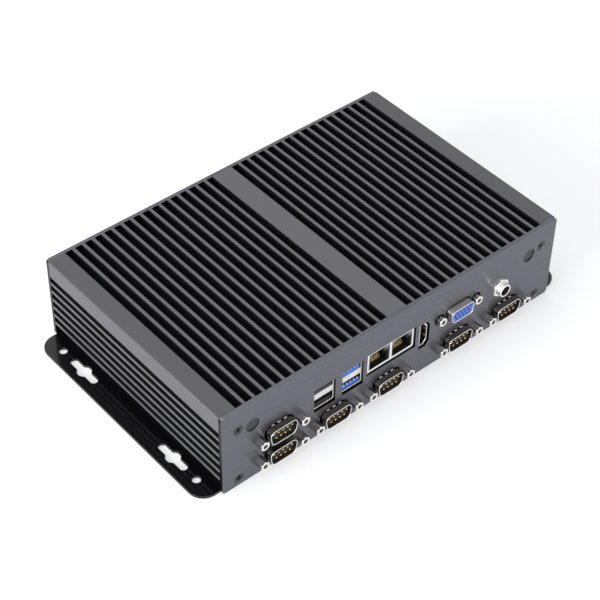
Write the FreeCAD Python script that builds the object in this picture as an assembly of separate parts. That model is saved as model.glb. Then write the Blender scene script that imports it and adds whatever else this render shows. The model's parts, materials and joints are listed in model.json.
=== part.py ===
import FreeCAD, Part
import math
import os

# Fanless industrial computer.
#
# A finned, extruded aluminium shell is the lid, the side walls and the heat sink in one
# piece.  Two brushed end panels close its open ends and a steel base plate, whose flanges
# are slotted for wall mounting, closes it from below.  The main board hangs from the lid
# with its processor upwards, so its sockets hang below it and look out of the front panel.
#
# Origin: centre of the base plate's underside.  +X runs along the front panel to the end
# with the power inlet, +Y runs from the front panel to the rear panel, +Z is up.
# Units are millimetres.

V = FreeCAD.Vector
LINEAR_TOLERANCE = 1e-6         # for finding an edge by its place

# ---- driving dimensions: housing ------------------------------------------------------
WIDTH = 220.0                   # along X, without the mounting flanges
DEPTH = 140.0                   # along Y, over both end panels
HEIGHT = 52.0                   # along Z, from the underside of the base plate
PANEL_T = 2.0                   # end panels
PANEL_CORNER_R = 1.5
PLATE_T = 1.5                   # base plate

# fins on the lid: two banks of grooves either side of a plain band
LID_GROOVES = 16                # in each bank
LID_PITCH = 5.96
LID_GROOVE_W = 4.3
LID_WEB = 3.0                   # metal left under the grooves
LID_BAND_W = 12.6               # plain band between the two banks

# fins on the side walls
SIDE_GROOVES = 6
SIDE_PITCH = 5.5
SIDE_GROOVE_W = 3.8
SIDE_GROOVE_DEPTH = 4.5
SIDE_WEB = 2.5                  # metal left behind the grooves
SIDE_TOP_BAND = 10.4            # plain band above the first groove
SHELL_EDGE_R = 0.8              # long upper edges of the shell

# rails at the feet of the side walls and bosses under the lid
RAIL_W = 9.1
RAIL_H = 7.1
BOSS_R = 3.6

# ---- driving dimensions: small round forms --------------------------------------------
# What repeats or is out of sight is many-sided, its flats at the stated radius, so that a
# bar still fits the hole made for it.  Interfaces and the moving fit are truly round.
SMOOTH_SIDES = 20               # knock-outs, keyholes and the coin cell
FINE_SIDES = 8                  # screw heads and countersinks
COARSE_SIDES = 8                # small bores, shanks and clearance holes
PIN_SIDES = 5
HEXAGON_SIDES = 6
CORNER_CHORDS = 2               # chords in each small rounded corner

# ---- driving dimensions: fasteners ----------------------------------------------------
PANEL_SCREW_R = 1.5
PANEL_SCREW_HEAD_R = 2.8
PANEL_SCREW_HEAD_H = 1.5
PANEL_SCREW_LENGTH = 9.0
PANEL_SCREW_INSET = 10.0        # from the side of the panel
PANEL_SCREW_Z = (4.7, 38.5)     # lower and upper row
BASE_SCREW_R = 1.25
BASE_SCREW_HEAD_R = 2.4
BASE_SCREW_HEAD_H = 1.2
BASE_SCREW_LENGTH = 6.5
BASE_SCREW_X = 101.0
BASE_SCREW_Y = 45.0
RECESS_ARM = 0.55               # width of a cross recess's slots
RECESS_REACH = 0.6              # their reach, as a share of the head's radius
RECESS_DEPTH = 0.9
SCREW_CLEARANCE = 0.1           # between a shank and the hole it passes through
TAP_RUN_OUT = 3.0               # of a panel screw's hole beyond its tip
TIP_GAP = 0.5                   # beyond the tip of any other screw
HEAD_CLEARANCE = 0.1            # between a head and its countersink

# ---- driving dimensions: mounting flanges ---------------------------------------------
FLANGE_REACH = 12.0             # beyond the side walls
FLANGE_CORNER_R = 9.0
MOUNT_HOLE_R = 2.2
MOUNT_SPACING_X = 229.0
MOUNT_SPACING_Y = 111.0
KEYHOLE_SPACING_Y = 74.0
KEYHOLE_R = 3.8
KEYHOLE_SLOT_W = 4.2
KEYHOLE_LENGTH = 20.7

# ---- driving dimensions: sockets on the front panel -----------------------------------
# shell outlines with sloping sides, shared by the serial ports and the analog video port
CONNECTOR_FLANGE = (30.8, 12.5)     # width and height
CONNECTOR_FLANGE_T = 1.0
CONNECTOR_WALL = 0.4
CONNECTOR_BLOCK = (18.6, 10.6)      # insulator behind the flange
CONNECTOR_SLOPE = math.radians(10)
JACKSCREW_SPACING = 24.99
JACKSCREW_FLAT = 4.75               # across the flats of the hexagon
JACKSCREW_HEX_L = 5.0
JACKSCREW_HOLE_R = 1.2
JACKSCREW_HOLE_DEPTH = 4.2
JACKSCREW_SHANK_R = 1.4
JACKSCREW_SHANK_L = 5.5
CLINCH_NUT_FLAT = 4.8
CLINCH_NUT_L = 2.0

SERIAL_SHELL = (17.8, 9.26, 3.0)    # width, height and corner radius of the shell's outside
SERIAL_RISE = 5.9                   # shell in front of its flange
SERIAL_ROW_X = (-40.5, -6.0, 42.0, 77.0)
SERIAL_Z = 9.0
STACK_X = -75.3                     # the two ports that stand one above the other
STACK_Z = 8.4                       # the lower of the two
STACK_PITCH = 14.2
SERIAL_GAP = 1.0                    # between a shell and its cut-out
SERIAL_DEPTH = 11.0                 # from the panel's back to the serial board
PIN_R = 0.5
PIN_PITCH = 2.77
PIN_ROW_GAP = 2.84
PIN_LENGTH = 5.2
DIMPLE = (1.7, 0.8, 0.3)            # earthing dimple: length, width and height
DIMPLE_PITCH = 3.8
DIMPLE_SETBACK = 1.7                # in front of the connector's flange

VIDEO_CENTRE = (41.6, 29.3)         # analog video port, x and z
VIDEO_SHELL = (16.3, 7.9, 2.2)
VIDEO_RISE = 6.2
VIDEO_SETBACK = 0.3                 # flange behind the panel's back face
VIDEO_GAP = 1.3
VIDEO_SCREW_HOLE_R = 3.3
VIDEO_PIN_HOLE_R = 0.55
VIDEO_PIN_PITCH = 2.29
VIDEO_ROW_GAP = 1.98
VIDEO_HOLE_DEPTH = 4.0
VIDEO_BODY_DEPTH = 14.0

BOARD_UNDERSIDE_Z = 34.2            # the sockets hang from this face
DATA_PORT_SIZE = (13.2, 15.4, 17.0)     # width, height and depth of a twin data port
DATA_PORT_X = (-46.9, -28.95)
DATA_PORT_SETBACK = 0.15            # behind the panel's back face
DATA_PORT_WALL = 0.4
DATA_PORT_MOUTH_H = 5.5
DATA_PORT_CUT_OUT = (13.6, 15.4)
DATA_PORT_CUT_OUT_Z = 25.6
TONGUE = (11.0, 1.9, 8.5)           # width, thickness and length
TONGUE_SETBACK = 1.4                # behind the rim of the shell
TONGUE_LIFT = 0.7                   # above the mouth's lower wall
SLOW_CONTACTS = 4                   # on each tongue of the slow port
FAST_CONTACTS = 5
CONTACT_W = 1.1
CONTACT_T = 0.12
CONTACT_MARGIN = 1.0                # from the outermost contacts' middles to the tongue's sides
CONTACT_SETBACK = 0.5               # behind the tongue's tip

NETWORK_X = -3.45                   # centre of the twin network jack
NETWORK_SIZE = (31.2, 13.0, 21.0)
NETWORK_SETBACK = 1.0               # behind the panel's front face
NETWORK_WALL = 0.9
NETWORK_GAP = 0.5
NETWORK_DIVIDER = 1.2
PLUG_HOLE = (11.8, 6.9)             # width and height of the hole for a plug
PLUG_HOLE_LIFT = 0.9                # above the shield's lower wall
PLUG_DEPTH = 13.0
LATCH_HOLE = (6.2, 2.6)             # notch above the plug hole
NETWORK_WIRES = 8
WIRE_PITCH = 1.02
WIRE_W = 0.45
WIRE_SETBACK = 4.0                  # from the jack's front to where its wires leave the floor
WIRE_RISE = 4.0                     # height of a wire's free end above the hole's floor
LIGHT_PIPE = (2.9, 2.9, 6.0)        # width, height and length

HD_VIDEO_CENTRE = (18.7, 25.05)     # digital video socket, x and z
HD_VIDEO_SIZE = (5.4, 15.1, 11.5)   # width, height and depth, standing on its side
HD_VIDEO_CHAMFER = (2.0, 2.6)       # its two cut corners, along X and Z
HD_VIDEO_SETBACK = 1.0
HD_VIDEO_GAP = 0.75
HD_VIDEO_WALL = 0.4
HD_VIDEO_TONGUE = (1.1, 11.2, 8.0)  # thickness, height and length
HD_VIDEO_TONGUE_SHIFT = 0.4         # away from the cut corners
HD_VIDEO_PLUG = 2.0                 # insulator inside the back of the shell
HD_VIDEO_BLOCK = 4.0                # insulator behind the shell

INLET_CENTRE = (70.2, 28.2)         # power inlet, x and z
INLET_BARREL_R = 3.9
INLET_BORE_R = 2.8
INLET_BARREL_RISE = 5.5             # in front of the panel
INLET_BORE_DEPTH = 10.0
INLET_PIN_R = 1.05
INLET_PIN_LENGTH = 8.5
INLET_BODY = (11.0, 11.0, 14.0)
INLET_NUT_FLAT = 9.9
INLET_NUT_T = 2.6
INLET_NUT_CHAMFER = 0.9             # as a share of the nut's corners beyond its flats
NECK_CLEARANCE = 0.15               # round a neck that passes through an end panel

KNOCK_OUT_X = 91.5                  # blind antenna knock-outs in the front panel
KNOCK_OUT_Z = 36.5
KNOCK_OUT_R = 3.9
KNOCK_OUT_DEPTH = 0.5

# ---- driving dimensions: rear panel ---------------------------------------------------
BUTTON_X = -78.0
BUTTON_Z = 27.0
BUTTON_R = 4.8
BUTTON_PROUD = 1.0                  # in front of its bezel at rest
BUTTON_TRAVEL = 1.2
BUTTON_SHOULDER_R = 5.5
BUTTON_SHOULDER_T = 1.2
RUNNING_GAP = 0.3                   # between the button and the body that holds it
BEZEL_R = 8.0
BEZEL_T = 1.6
SWITCH_BARREL_R = 6.9
SWITCH_LENGTH = 16.0                # behind the bezel
SWITCH_NUT_FLAT = 17.0
SWITCH_NUT_T = 2.5
STATUS_LIGHT_X = (-60.0, -53.0)
STATUS_LIGHT_R = 1.5
STATUS_LIGHT_PROUD = 0.4
STATUS_LIGHT_LENGTH = 7.0
STATUS_FLANGE_R = 2.2
STATUS_FLANGE_T = 1.0

# ---- driving dimensions: inside -------------------------------------------------------
BOARD_T = 1.6
MAIN_BOARD_X = (-68.0, 78.0)
MAIN_BOARD_DEPTH = 102.0
MAIN_BOARD_SETBACK = 1.6            # behind the front panel's back face
BOARD_HOLE_INSET = 4.0              # from the sides and the rear edge
BOARD_HOLE_FRONT = 20.0             # from the front edge, behind the sockets
BOARD_HOLE_R = 1.6
STANDOFF_FLAT = 5.5
STANDOFF_L = 4.2                    # from the main board up to the lid
BOARD_SCREW_HEAD_R = 2.75
BOARD_SCREW_HEAD_H = 1.8
PROCESSOR = (25.0, 27.0, 1.3)
PROCESSOR_CENTRE = (8.0, -10.0)
THERMAL_PAD_T = 0.5
SPREADER = (44.0, 44.0)
MODULE_T = 1.2                      # circuit board of a plug-in module
MEMORY_MODULE = (67.6, 30.0)
MEMORY_CHIPS = 4
MEMORY_PLACE = (-25.0, 8.6)         # x of its middle, and its edge from the board's rear edge
DRIVE_MODULE = (30.0, 50.0)
DRIVE_CHIPS = 2
DRIVE_PLACE = (38.0, 5.6)
MODULE_DROP = 2.6                   # modules below the main board
MODULE_CHIP_T = 1.0
MODULE_CHIP_FILL = (0.75, 0.45)     # chips' share of their pitch and of the card's depth
MODULE_SOCKET_DEPTH = 6.0
MODULE_GRIP = 1.5                   # of a module's edge inside its socket
MODULE_SOCKET_LIP = 1.0             # of the socket below the module
CELL_R = 10.0
CELL_T = 3.2
CELL_PLACE = (66.0, 15.6)           # x, and y from the board's rear edge
SERIAL_BOARD_X = (-91.0, 93.0)
SERIAL_BOARD_TAB_X = -58.0          # right-hand side of the tab behind the stacked port
LINK_SIZE = (8.0, 5.0)              # board-to-board plug, along X and Y
COIL = (6.0, 6.0, 2.8)
COIL_ROW_X = (-52.0, -44.0, -36.0, -28.0)
COIL_Y = -30.0

# ---- derived places -------------------------------------------------------------------
LEFT, RIGHT = -WIDTH / 2, WIDTH / 2
FRONT, REAR = -DEPTH / 2, DEPTH / 2
SHELL_FRONT, SHELL_REAR = FRONT + PANEL_T, REAR - PANEL_T
WALL_INNER_X = RIGHT - SIDE_GROOVE_DEPTH - SIDE_WEB
BANK_W = (LID_GROOVES - 1) * LID_PITCH + LID_GROOVE_W
BOARD_TOP_Z = BOARD_UNDERSIDE_Z + BOARD_T
LID_UNDERSIDE_Z = BOARD_TOP_Z + STANDOFF_L
LID_GROOVE_DEPTH = HEIGHT - LID_WEB - LID_UNDERSIDE_Z   # the fins take the height that is left
BOARD_FRONT = SHELL_FRONT + MAIN_BOARD_SETBACK
BOARD_REAR = BOARD_FRONT + MAIN_BOARD_DEPTH
MEMORY_CENTRE = (MEMORY_PLACE[0], BOARD_REAR - MEMORY_PLACE[1] - MEMORY_MODULE[1] / 2)
DRIVE_CENTRE = (DRIVE_PLACE[0], BOARD_REAR - DRIVE_PLACE[1] - DRIVE_MODULE[1] / 2)
CELL_CENTRE = (CELL_PLACE[0], BOARD_REAR - CELL_PLACE[1])
SERIAL_BOARD_Y = SHELL_FRONT + SERIAL_DEPTH
PORT_FLANGE_BACK = SHELL_FRONT + CONNECTOR_FLANGE_T
SERIAL_PLACES = [(STACK_X, STACK_Z), (STACK_X, STACK_Z + STACK_PITCH)]
SERIAL_PLACES += [(x, SERIAL_Z) for x in SERIAL_ROW_X]
SERIAL_BOARD_LOW = STACK_Z - CONNECTOR_FLANGE[1] / 2
SERIAL_BOARD_HIGH = SERIAL_Z + CONNECTOR_FLANGE[1] / 2
SERIAL_TAB_TOP = STACK_Z + STACK_PITCH + CONNECTOR_FLANGE[1] / 2
DATA_PORT_TOP = BOARD_UNDERSIDE_Z
DATA_PORT_BOTTOM = DATA_PORT_TOP - DATA_PORT_SIZE[1]
NETWORK_Z = BOARD_UNDERSIDE_Z - NETWORK_SIZE[1] / 2
BUTTON_TIP_Y = REAR + BEZEL_T + BUTTON_PROUD


# ---- helpers --------------------------------------------------------------------------
def box(x, y, z):
    """Box between the low and high limits given for each axis."""
    return Part.makeBox(x[1] - x[0], y[1] - y[0], z[1] - z[0], V(x[0], y[0], z[0]))


def around(centre, size):
    """Low and high limits of a length laid evenly about its centre."""
    return (centre - size / 2, centre + size / 2)


def rod_y(x, z, radius, y):
    """Round bar along Y between two limits."""
    return Part.makeCylinder(radius, y[1] - y[0], V(x, y[0], z), V(0, 1, 0))


def rod_z(x, y, radius, z):
    """Round bar along Z between two limits."""
    return Part.makeCylinder(radius, z[1] - z[0], V(x, y, z[0]), V(0, 0, 1))


def polygon_face(corners):
    """Flat face inside a closed run of straight edges."""
    return Part.Face(Part.makePolygon(corners + corners[:1]))


def prism_y(points, y):
    """Solid whose outline in X and Z is extruded along Y between two limits."""
    face = polygon_face([V(px, y[0], pz) for px, pz in points])
    return face.extrude(V(0, y[1] - y[0], 0))


def regular_points(centre, radius, sides):
    """Corners of a regular polygon whose flats are at the radius, one flat facing each axis."""
    reach = radius / math.cos(math.pi / sides)
    turns = [2 * math.pi * (k + 0.5) / sides for k in range(sides)]
    return [(centre[0] + reach * math.cos(t), centre[1] + reach * math.sin(t)) for t in turns]


def bar_y(x, z, radius, y, sides=COARSE_SIDES):
    """Many-sided bar along Y between two limits."""
    return prism_y(regular_points((x, z), radius, sides), y)


def bar_z(x, y, radius, z, sides=COARSE_SIDES):
    """Many-sided bar along Z between two limits."""
    corners = [V(px, py, z[0]) for px, py in regular_points((x, y), radius, sides)]
    return polygon_face(corners).extrude(V(0, 0, z[1] - z[0]))


def taper_z(radii, height, sides=FINE_SIDES):
    """Many-sided taper up from the origin, from its first radius to its second."""
    low, high = ([V(px, py, z) for px, py in regular_points((0, 0), radius, sides)]
                 for radius, z in zip(radii, (0, height)))
    faces = [polygon_face(low), polygon_face(high)]
    faces += [polygon_face([low[k - 1], low[k], high[k], high[k - 1]]) for k in range(sides)]
    shell = Part.makeShell(faces)
    shell.sewShape()
    return Part.makeSolid(shell)


def hexagon(x, z, flat, y):
    """Hexagonal bar along Y with a corner above and below."""
    return prism_y(regular_points((x, z), flat / 2, HEXAGON_SIDES), y)


def round_along(solid, radius, direction):
    """Round every straight edge of a solid that runs along the given direction."""
    edges = [e for e in solid.Edges if e.tangentAt(e.FirstParameter).cross(direction).Length < 1e-6
             and isinstance(e.Curve, Part.Line)]
    return solid.makeFillet(radius, edges)


def fuse_all(solids):
    """Join overlapping solids into one, without the seams between flush faces."""
    joined = solids[0].multiFuse(solids[1:]) if len(solids) > 1 else solids[0]
    return joined.removeSplitter()


def cut_all(solid, tools):
    """Take every tool out of a solid."""
    return solid.cut(Part.makeCompound(tools)) if tools else solid


def rounded_points(corners, radius):
    """Outline through convex corners, given anticlockwise, each rounded by a few chords."""
    points = []
    for k, corner in enumerate(corners):
        before, after = corners[k - 1], corners[(k + 1) % len(corners)]
        back = math.atan2(before[1] - corner[1], before[0] - corner[0])
        ahead = math.atan2(after[1] - corner[1], after[0] - corner[0])
        opening = (back - ahead) % (2 * math.pi)
        middle = ahead + opening / 2
        reach = radius / math.sin(opening / 2)
        centre = (corner[0] + reach * math.cos(middle), corner[1] + reach * math.sin(middle))
        sweep = math.pi - opening
        for step in range(CORNER_CHORDS + 1):
            turn = middle + math.pi - sweep / 2 + sweep * step / CORNER_CHORDS
            points.append((centre[0] + radius * math.cos(turn),
                           centre[1] + radius * math.sin(turn)))
    return points


def slope_outline(x, z, size, y, grow=0.0):
    """Bar along Y with the sloping-sided outline of a connector shell, its wide side up.

    grow moves the whole outline outwards, or inwards where it is negative.
    """
    width, height, radius = size
    top = width / 2 + grow / math.cos(CONNECTOR_SLOPE) + grow * math.tan(CONNECTOR_SLOPE)
    full_height = height + 2 * grow
    bottom = top - full_height * math.tan(CONNECTOR_SLOPE)
    high, low = z + full_height / 2, z - full_height / 2
    corners = [(x + top, high), (x - top, high), (x - bottom, low), (x + bottom, low)]
    return prism_y(rounded_points(corners, radius + grow), y)


def countersunk_screw(radius, head_radius, head_height, length):
    """Countersunk screw along +Z, its head's flat face at z = 0, with a cross recess."""
    head = taper_z((head_radius, radius), head_height)
    shank = bar_z(0, 0, radius, (head_height, length))
    arm = head_radius * RECESS_REACH
    slots = [box((-arm, arm), around(0, RECESS_ARM), (0, RECESS_DEPTH)),
             box(around(0, RECESS_ARM), (-arm, arm), (0, RECESS_DEPTH))]
    return cut_all(fuse_all([head, shank]), slots)


def countersink(radius, head_radius, head_height, thickness):
    """Tool for a countersunk hole along +Z through a sheet whose face is at z = 0."""
    wide = head_radius + HEAD_CLEARANCE
    narrow = radius + SCREW_CLEARANCE
    depth = head_height * (wide - narrow) / (head_radius - radius)
    return fuse_all([taper_z((wide, narrow), depth), bar_z(0, 0, narrow, (0, thickness))])


def turned(shape, axis, angle, place):
    """Copy of a shape turned about an axis through the origin, then moved to its place."""
    copy = shape.copy()
    copy.Placement = FreeCAD.Placement(V(*place), FreeCAD.Rotation(axis, angle))
    return copy


def panel_screw_places():
    """X and Z of the four screws that hold an end panel."""
    reach = RIGHT - PANEL_SCREW_INSET
    return [(side * reach, z) for side in (-1, 1) for z in PANEL_SCREW_Z]


def base_screw_places():
    """X and Y of the four screws that hold the base plate."""
    return [(sx * BASE_SCREW_X, sy * BASE_SCREW_Y) for sx in (-1, 1) for sy in (-1, 1)]


def jackscrew_places(x, z):
    """The two jackscrews beside a connector."""
    return [(x + side * JACKSCREW_SPACING / 2, z) for side in (-1, 1)]


# ---- housing --------------------------------------------------------------------------
def heatsink_shell():
    """Extruded shell: grooved lid, grooved side walls, foot rails and screw bosses."""
    length = (SHELL_FRONT, SHELL_REAR)
    outer = box((LEFT, RIGHT), length, (PLATE_T, HEIGHT))
    sides = [e for e in outer.Edges if abs(e.CenterOfMass.x) > RIGHT - LINEAR_TOLERANCE]
    upper_edges = [e for e in sides if e.CenterOfMass.z > HEIGHT - LINEAR_TOLERANCE]
    outer = outer.makeFillet(SHELL_EDGE_R, upper_edges)
    cavity = box((-WALL_INNER_X, WALL_INNER_X), length, (PLATE_T, LID_UNDERSIDE_Z))
    grooves = []
    for bank_start in (-LID_BAND_W / 2 - BANK_W, LID_BAND_W / 2):
        for k in range(LID_GROOVES):
            left = bank_start + k * LID_PITCH
            grooves.append(box((left, left + LID_GROOVE_W), length,
                               (HEIGHT - LID_GROOVE_DEPTH, HEIGHT)))
    for k in range(SIDE_GROOVES):
        top = HEIGHT - SIDE_TOP_BAND - k * SIDE_PITCH
        for inner, edge in ((LEFT + SIDE_GROOVE_DEPTH, LEFT), (RIGHT - SIDE_GROOVE_DEPTH, RIGHT)):
            grooves.append(box(sorted((inner, edge)), length, (top - SIDE_GROOVE_W, top)))
    foot_top = HEIGHT - SIDE_TOP_BAND - SIDE_GROOVES * SIDE_PITCH
    for inner, edge in ((LEFT + SIDE_GROOVE_DEPTH, LEFT), (RIGHT - SIDE_GROOVE_DEPTH, RIGHT)):
        grooves.append(box(sorted((inner, edge)), length, (PLATE_T, foot_top)))
    shell = cut_all(outer, [cavity] + grooves)

    additions = [shell]
    rail_outer = RIGHT - SIDE_GROOVE_DEPTH
    for side in (-1, 1):
        rail = sorted((side * rail_outer, side * (rail_outer - RAIL_W)))
        additions.append(box(rail, length, (PLATE_T, PLATE_T + RAIL_H)))
        boss_x = side * (RIGHT - PANEL_SCREW_INSET)
        additions.append(bar_y(boss_x, PANEL_SCREW_Z[1], BOSS_R, length, FINE_SIDES))
    shell = fuse_all(additions)

    holes = []
    depth = PANEL_SCREW_LENGTH - PANEL_T + TAP_RUN_OUT
    for x, z in panel_screw_places():
        holes.append(bar_y(x, z, PANEL_SCREW_R, (SHELL_FRONT, SHELL_FRONT + depth)))
        holes.append(bar_y(x, z, PANEL_SCREW_R, (SHELL_REAR - depth, SHELL_REAR)))
    for x, y in base_screw_places():
        holes.append(bar_z(x, y, BASE_SCREW_R, (PLATE_T, BASE_SCREW_LENGTH + TIP_GAP)))
    return cut_all(shell, holes)


def blank_panel(y):
    """End panel with rounded corners, before anything is cut into it."""
    corners = [(RIGHT, HEIGHT), (LEFT, HEIGHT), (LEFT, 0), (RIGHT, 0)]
    return prism_y(rounded_points(corners, PANEL_CORNER_R), y)


def panel_screw_holes(front):
    """Countersunk holes for one end panel's screws."""
    tool = countersink(PANEL_SCREW_R, PANEL_SCREW_HEAD_R, PANEL_SCREW_HEAD_H, PANEL_T)
    face_y, angle = (FRONT, -90) if front else (REAR, 90)
    return [turned(tool, V(1, 0, 0), angle, (x, face_y, z)) for x, z in panel_screw_places()]


def panel_screws(front):
    """The four countersunk screws of one end panel, each a solid of its own."""
    screw = countersunk_screw(PANEL_SCREW_R, PANEL_SCREW_HEAD_R, PANEL_SCREW_HEAD_H,
                              PANEL_SCREW_LENGTH)
    face_y, angle = (FRONT, -90) if front else (REAR, 90)
    return [turned(screw, V(1, 0, 0), angle, (x, face_y, z)) for x, z in panel_screw_places()]


def front_panel():
    """Brushed panel with a cut-out for every socket and two blind antenna knock-outs."""
    through = (FRONT, SHELL_FRONT)
    tools = panel_screw_holes(front=True)
    for x, z in SERIAL_PLACES:
        tools.append(slope_outline(x, z, SERIAL_SHELL, through, SERIAL_GAP))
        for sx, sz in jackscrew_places(x, z):
            tools.append(bar_y(sx, sz, JACKSCREW_SHANK_R + SCREW_CLEARANCE, through))
    x, z = VIDEO_CENTRE
    tools.append(slope_outline(x, z, VIDEO_SHELL, through, VIDEO_GAP))
    tools += [bar_y(sx, sz, VIDEO_SCREW_HOLE_R, through, FINE_SIDES)
              for sx, sz in jackscrew_places(x, z)]
    for x in DATA_PORT_X:
        width, height = DATA_PORT_CUT_OUT
        tools.append(box(around(x, width), through, around(DATA_PORT_CUT_OUT_Z, height)))
    width, height = NETWORK_SIZE[:2]
    tools.append(box(around(NETWORK_X, width + 2 * NETWORK_GAP), through,
                     around(NETWORK_Z, height + 2 * NETWORK_GAP)))
    tools.append(hd_video_outline(through, HD_VIDEO_GAP))
    tools.append(bar_y(*INLET_CENTRE, INLET_BARREL_R + NECK_CLEARANCE, through, SMOOTH_SIDES))
    for side in (-1, 1):
        tools.append(bar_y(side * KNOCK_OUT_X, KNOCK_OUT_Z, KNOCK_OUT_R,
                           (FRONT, FRONT + KNOCK_OUT_DEPTH), SMOOTH_SIDES))
    return cut_all(blank_panel(through), tools)


def rear_panel():
    """Brushed panel with a hole for the power switch and one for each status light."""
    through = (SHELL_REAR, REAR)
    tools = panel_screw_holes(front=False)
    tools.append(bar_y(BUTTON_X, BUTTON_Z, SWITCH_BARREL_R + NECK_CLEARANCE, through, FINE_SIDES))
    tools += [bar_y(x, BUTTON_Z, STATUS_LIGHT_R, through, FINE_SIDES) for x in STATUS_LIGHT_X]
    return cut_all(blank_panel(through), tools)


def base_plate():
    """Steel plate between the end panels, with slotted flanges beyond the side walls."""
    thickness = (0, PLATE_T)
    reach = RIGHT + FLANGE_REACH
    plate = box((-reach, reach), (SHELL_FRONT, SHELL_REAR), thickness)
    plate = round_along(plate, FLANGE_CORNER_R, V(0, 0, 1))
    tools = []
    for sx in (-1, 1):
        x = sx * MOUNT_SPACING_X / 2
        for sy in (-1, 1):
            tools.append(rod_z(x, sy * MOUNT_SPACING_Y / 2, MOUNT_HOLE_R, thickness))
            tools.append(keyhole(x, sy * KEYHOLE_SPACING_Y / 2, thickness))
    sink = countersink(BASE_SCREW_R, BASE_SCREW_HEAD_R, BASE_SCREW_HEAD_H, PLATE_T)
    tools += [turned(sink, V(1, 0, 0), 0, (x, y, 0)) for x, y in base_screw_places()]
    return cut_all(plate, tools)


def keyhole(x, y, z):
    """Round hole for a screw head with a slot either side of it, both along Y."""
    end_r = KEYHOLE_SLOT_W / 2
    straight = KEYHOLE_LENGTH / 2 - end_r
    parts = [bar_z(x, y, KEYHOLE_R, z, SMOOTH_SIDES),
             box(around(x, KEYHOLE_SLOT_W), around(y, 2 * straight), z)]
    parts += [bar_z(x, y + side * straight, end_r, z, COARSE_SIDES) for side in (-1, 1)]
    return fuse_all(parts)


def base_screws():
    """The four countersunk screws under the base plate."""
    screw = countersunk_screw(BASE_SCREW_R, BASE_SCREW_HEAD_R, BASE_SCREW_HEAD_H,
                              BASE_SCREW_LENGTH)
    return [turned(screw, V(1, 0, 0), 0, (x, y, 0)) for x, y in base_screw_places()]


# ---- serial ports and the analog video port -------------------------------------------
def jackscrews(places, seat_y):
    """Hexagonal jackscrews whose shoulders seat on the face at seat_y."""
    screws = []
    for x, z in places:
        tip = seat_y - JACKSCREW_HEX_L
        body = hexagon(x, z, JACKSCREW_FLAT, (tip, seat_y))
        shank = bar_y(x, z, JACKSCREW_SHANK_R, (seat_y, seat_y + JACKSCREW_SHANK_L))
        hole = bar_y(x, z, JACKSCREW_HOLE_R, (tip, tip + JACKSCREW_HOLE_DEPTH))
        screws.append(fuse_all([body, shank]).cut(hole))
    return screws


def connector_shell(x, z, size, rise, flange_front):
    """Pressed metal shell: flange with clinch nuts and a hollow nose with sloping sides."""
    flange_back = flange_front + CONNECTOR_FLANGE_T
    width, height = CONNECTOR_FLANGE
    parts = [box(around(x, width), (flange_front, flange_back), around(z, height)),
             slope_outline(x, z, size, (flange_front - rise, flange_back))]
    holes = [slope_outline(x, z, size, (flange_front - rise, flange_back), -CONNECTOR_WALL)]
    for sx, sz in jackscrew_places(x, z):
        parts.append(hexagon(sx, sz, CLINCH_NUT_FLAT, (flange_front, flange_back + CLINCH_NUT_L)))
        holes.append(bar_y(sx, sz, JACKSCREW_SHANK_R + SCREW_CLEARANCE,
                           (flange_front, flange_back + CLINCH_NUT_L)))
    return parts, holes


def serial_shell(x, z):
    """Shell of a nine-pin port, with earthing dimples on top of its nose."""
    parts, holes = connector_shell(x, z, SERIAL_SHELL, SERIAL_RISE, SHELL_FRONT)
    length, width, height = DIMPLE
    top = z + SERIAL_SHELL[1] / 2
    for k in (-1, 0, 1):
        y = SHELL_FRONT - DIMPLE_SETBACK
        parts.append(box(around(x + k * DIMPLE_PITCH, length), around(y, width),
                         (top - CONNECTOR_WALL / 2, top + height)))
    return cut_all(fuse_all(parts), holes)


def serial_core(x, z):
    """Black insulator: its face fills the shell's nose, its block reaches the board."""
    face = slope_outline(x, z, SERIAL_SHELL, (SHELL_FRONT, PORT_FLANGE_BACK), -CONNECTOR_WALL)
    width, height = CONNECTOR_BLOCK
    block = box(around(x, width), (PORT_FLANGE_BACK, SERIAL_BOARD_Y), around(z, height))
    return fuse_all([face, block])


def serial_pins(x, z):
    """Five pins over four, standing on the insulator's face."""
    pins = []
    for count, row in ((5, 0.5), (4, -0.5)):
        for k in range(count):
            px = x + (k - (count - 1) / 2) * PIN_PITCH
            pz = z + row * PIN_ROW_GAP
            pins.append(bar_y(px, pz, PIN_R, (SHELL_FRONT - PIN_LENGTH, SHELL_FRONT), PIN_SIDES))
    return pins


def video_shell():
    """Shell of the fifteen-way port, which the board holds behind the panel."""
    parts, holes = connector_shell(*VIDEO_CENTRE, VIDEO_SHELL, VIDEO_RISE,
                                   SHELL_FRONT + VIDEO_SETBACK)
    return cut_all(fuse_all(parts), holes)


def video_core():
    """Blue insulator with three rows of five holes, and the block that hangs it."""
    x, z = VIDEO_CENTRE
    flange_front = SHELL_FRONT + VIDEO_SETBACK
    flange_back = flange_front + CONNECTOR_FLANGE_T
    face_y = flange_front - VIDEO_RISE + CONNECTOR_WALL
    nose = slope_outline(x, z, VIDEO_SHELL, (face_y, flange_back), -CONNECTOR_WALL)
    block = box(around(x, CONNECTOR_BLOCK[0]), (flange_back, flange_back + VIDEO_BODY_DEPTH),
                (z - CONNECTOR_FLANGE[1] / 2, BOARD_UNDERSIDE_Z))
    holes = []
    for row in (1, 0, -1):
        shift = -VIDEO_PIN_PITCH / 4 if row == 0 else VIDEO_PIN_PITCH / 4
        for k in range(-2, 3):
            holes.append(bar_y(x + k * VIDEO_PIN_PITCH + shift, z + row * VIDEO_ROW_GAP,
                               VIDEO_PIN_HOLE_R, (face_y, face_y + VIDEO_HOLE_DEPTH)))
    return cut_all(fuse_all([nose, block]), holes)


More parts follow.
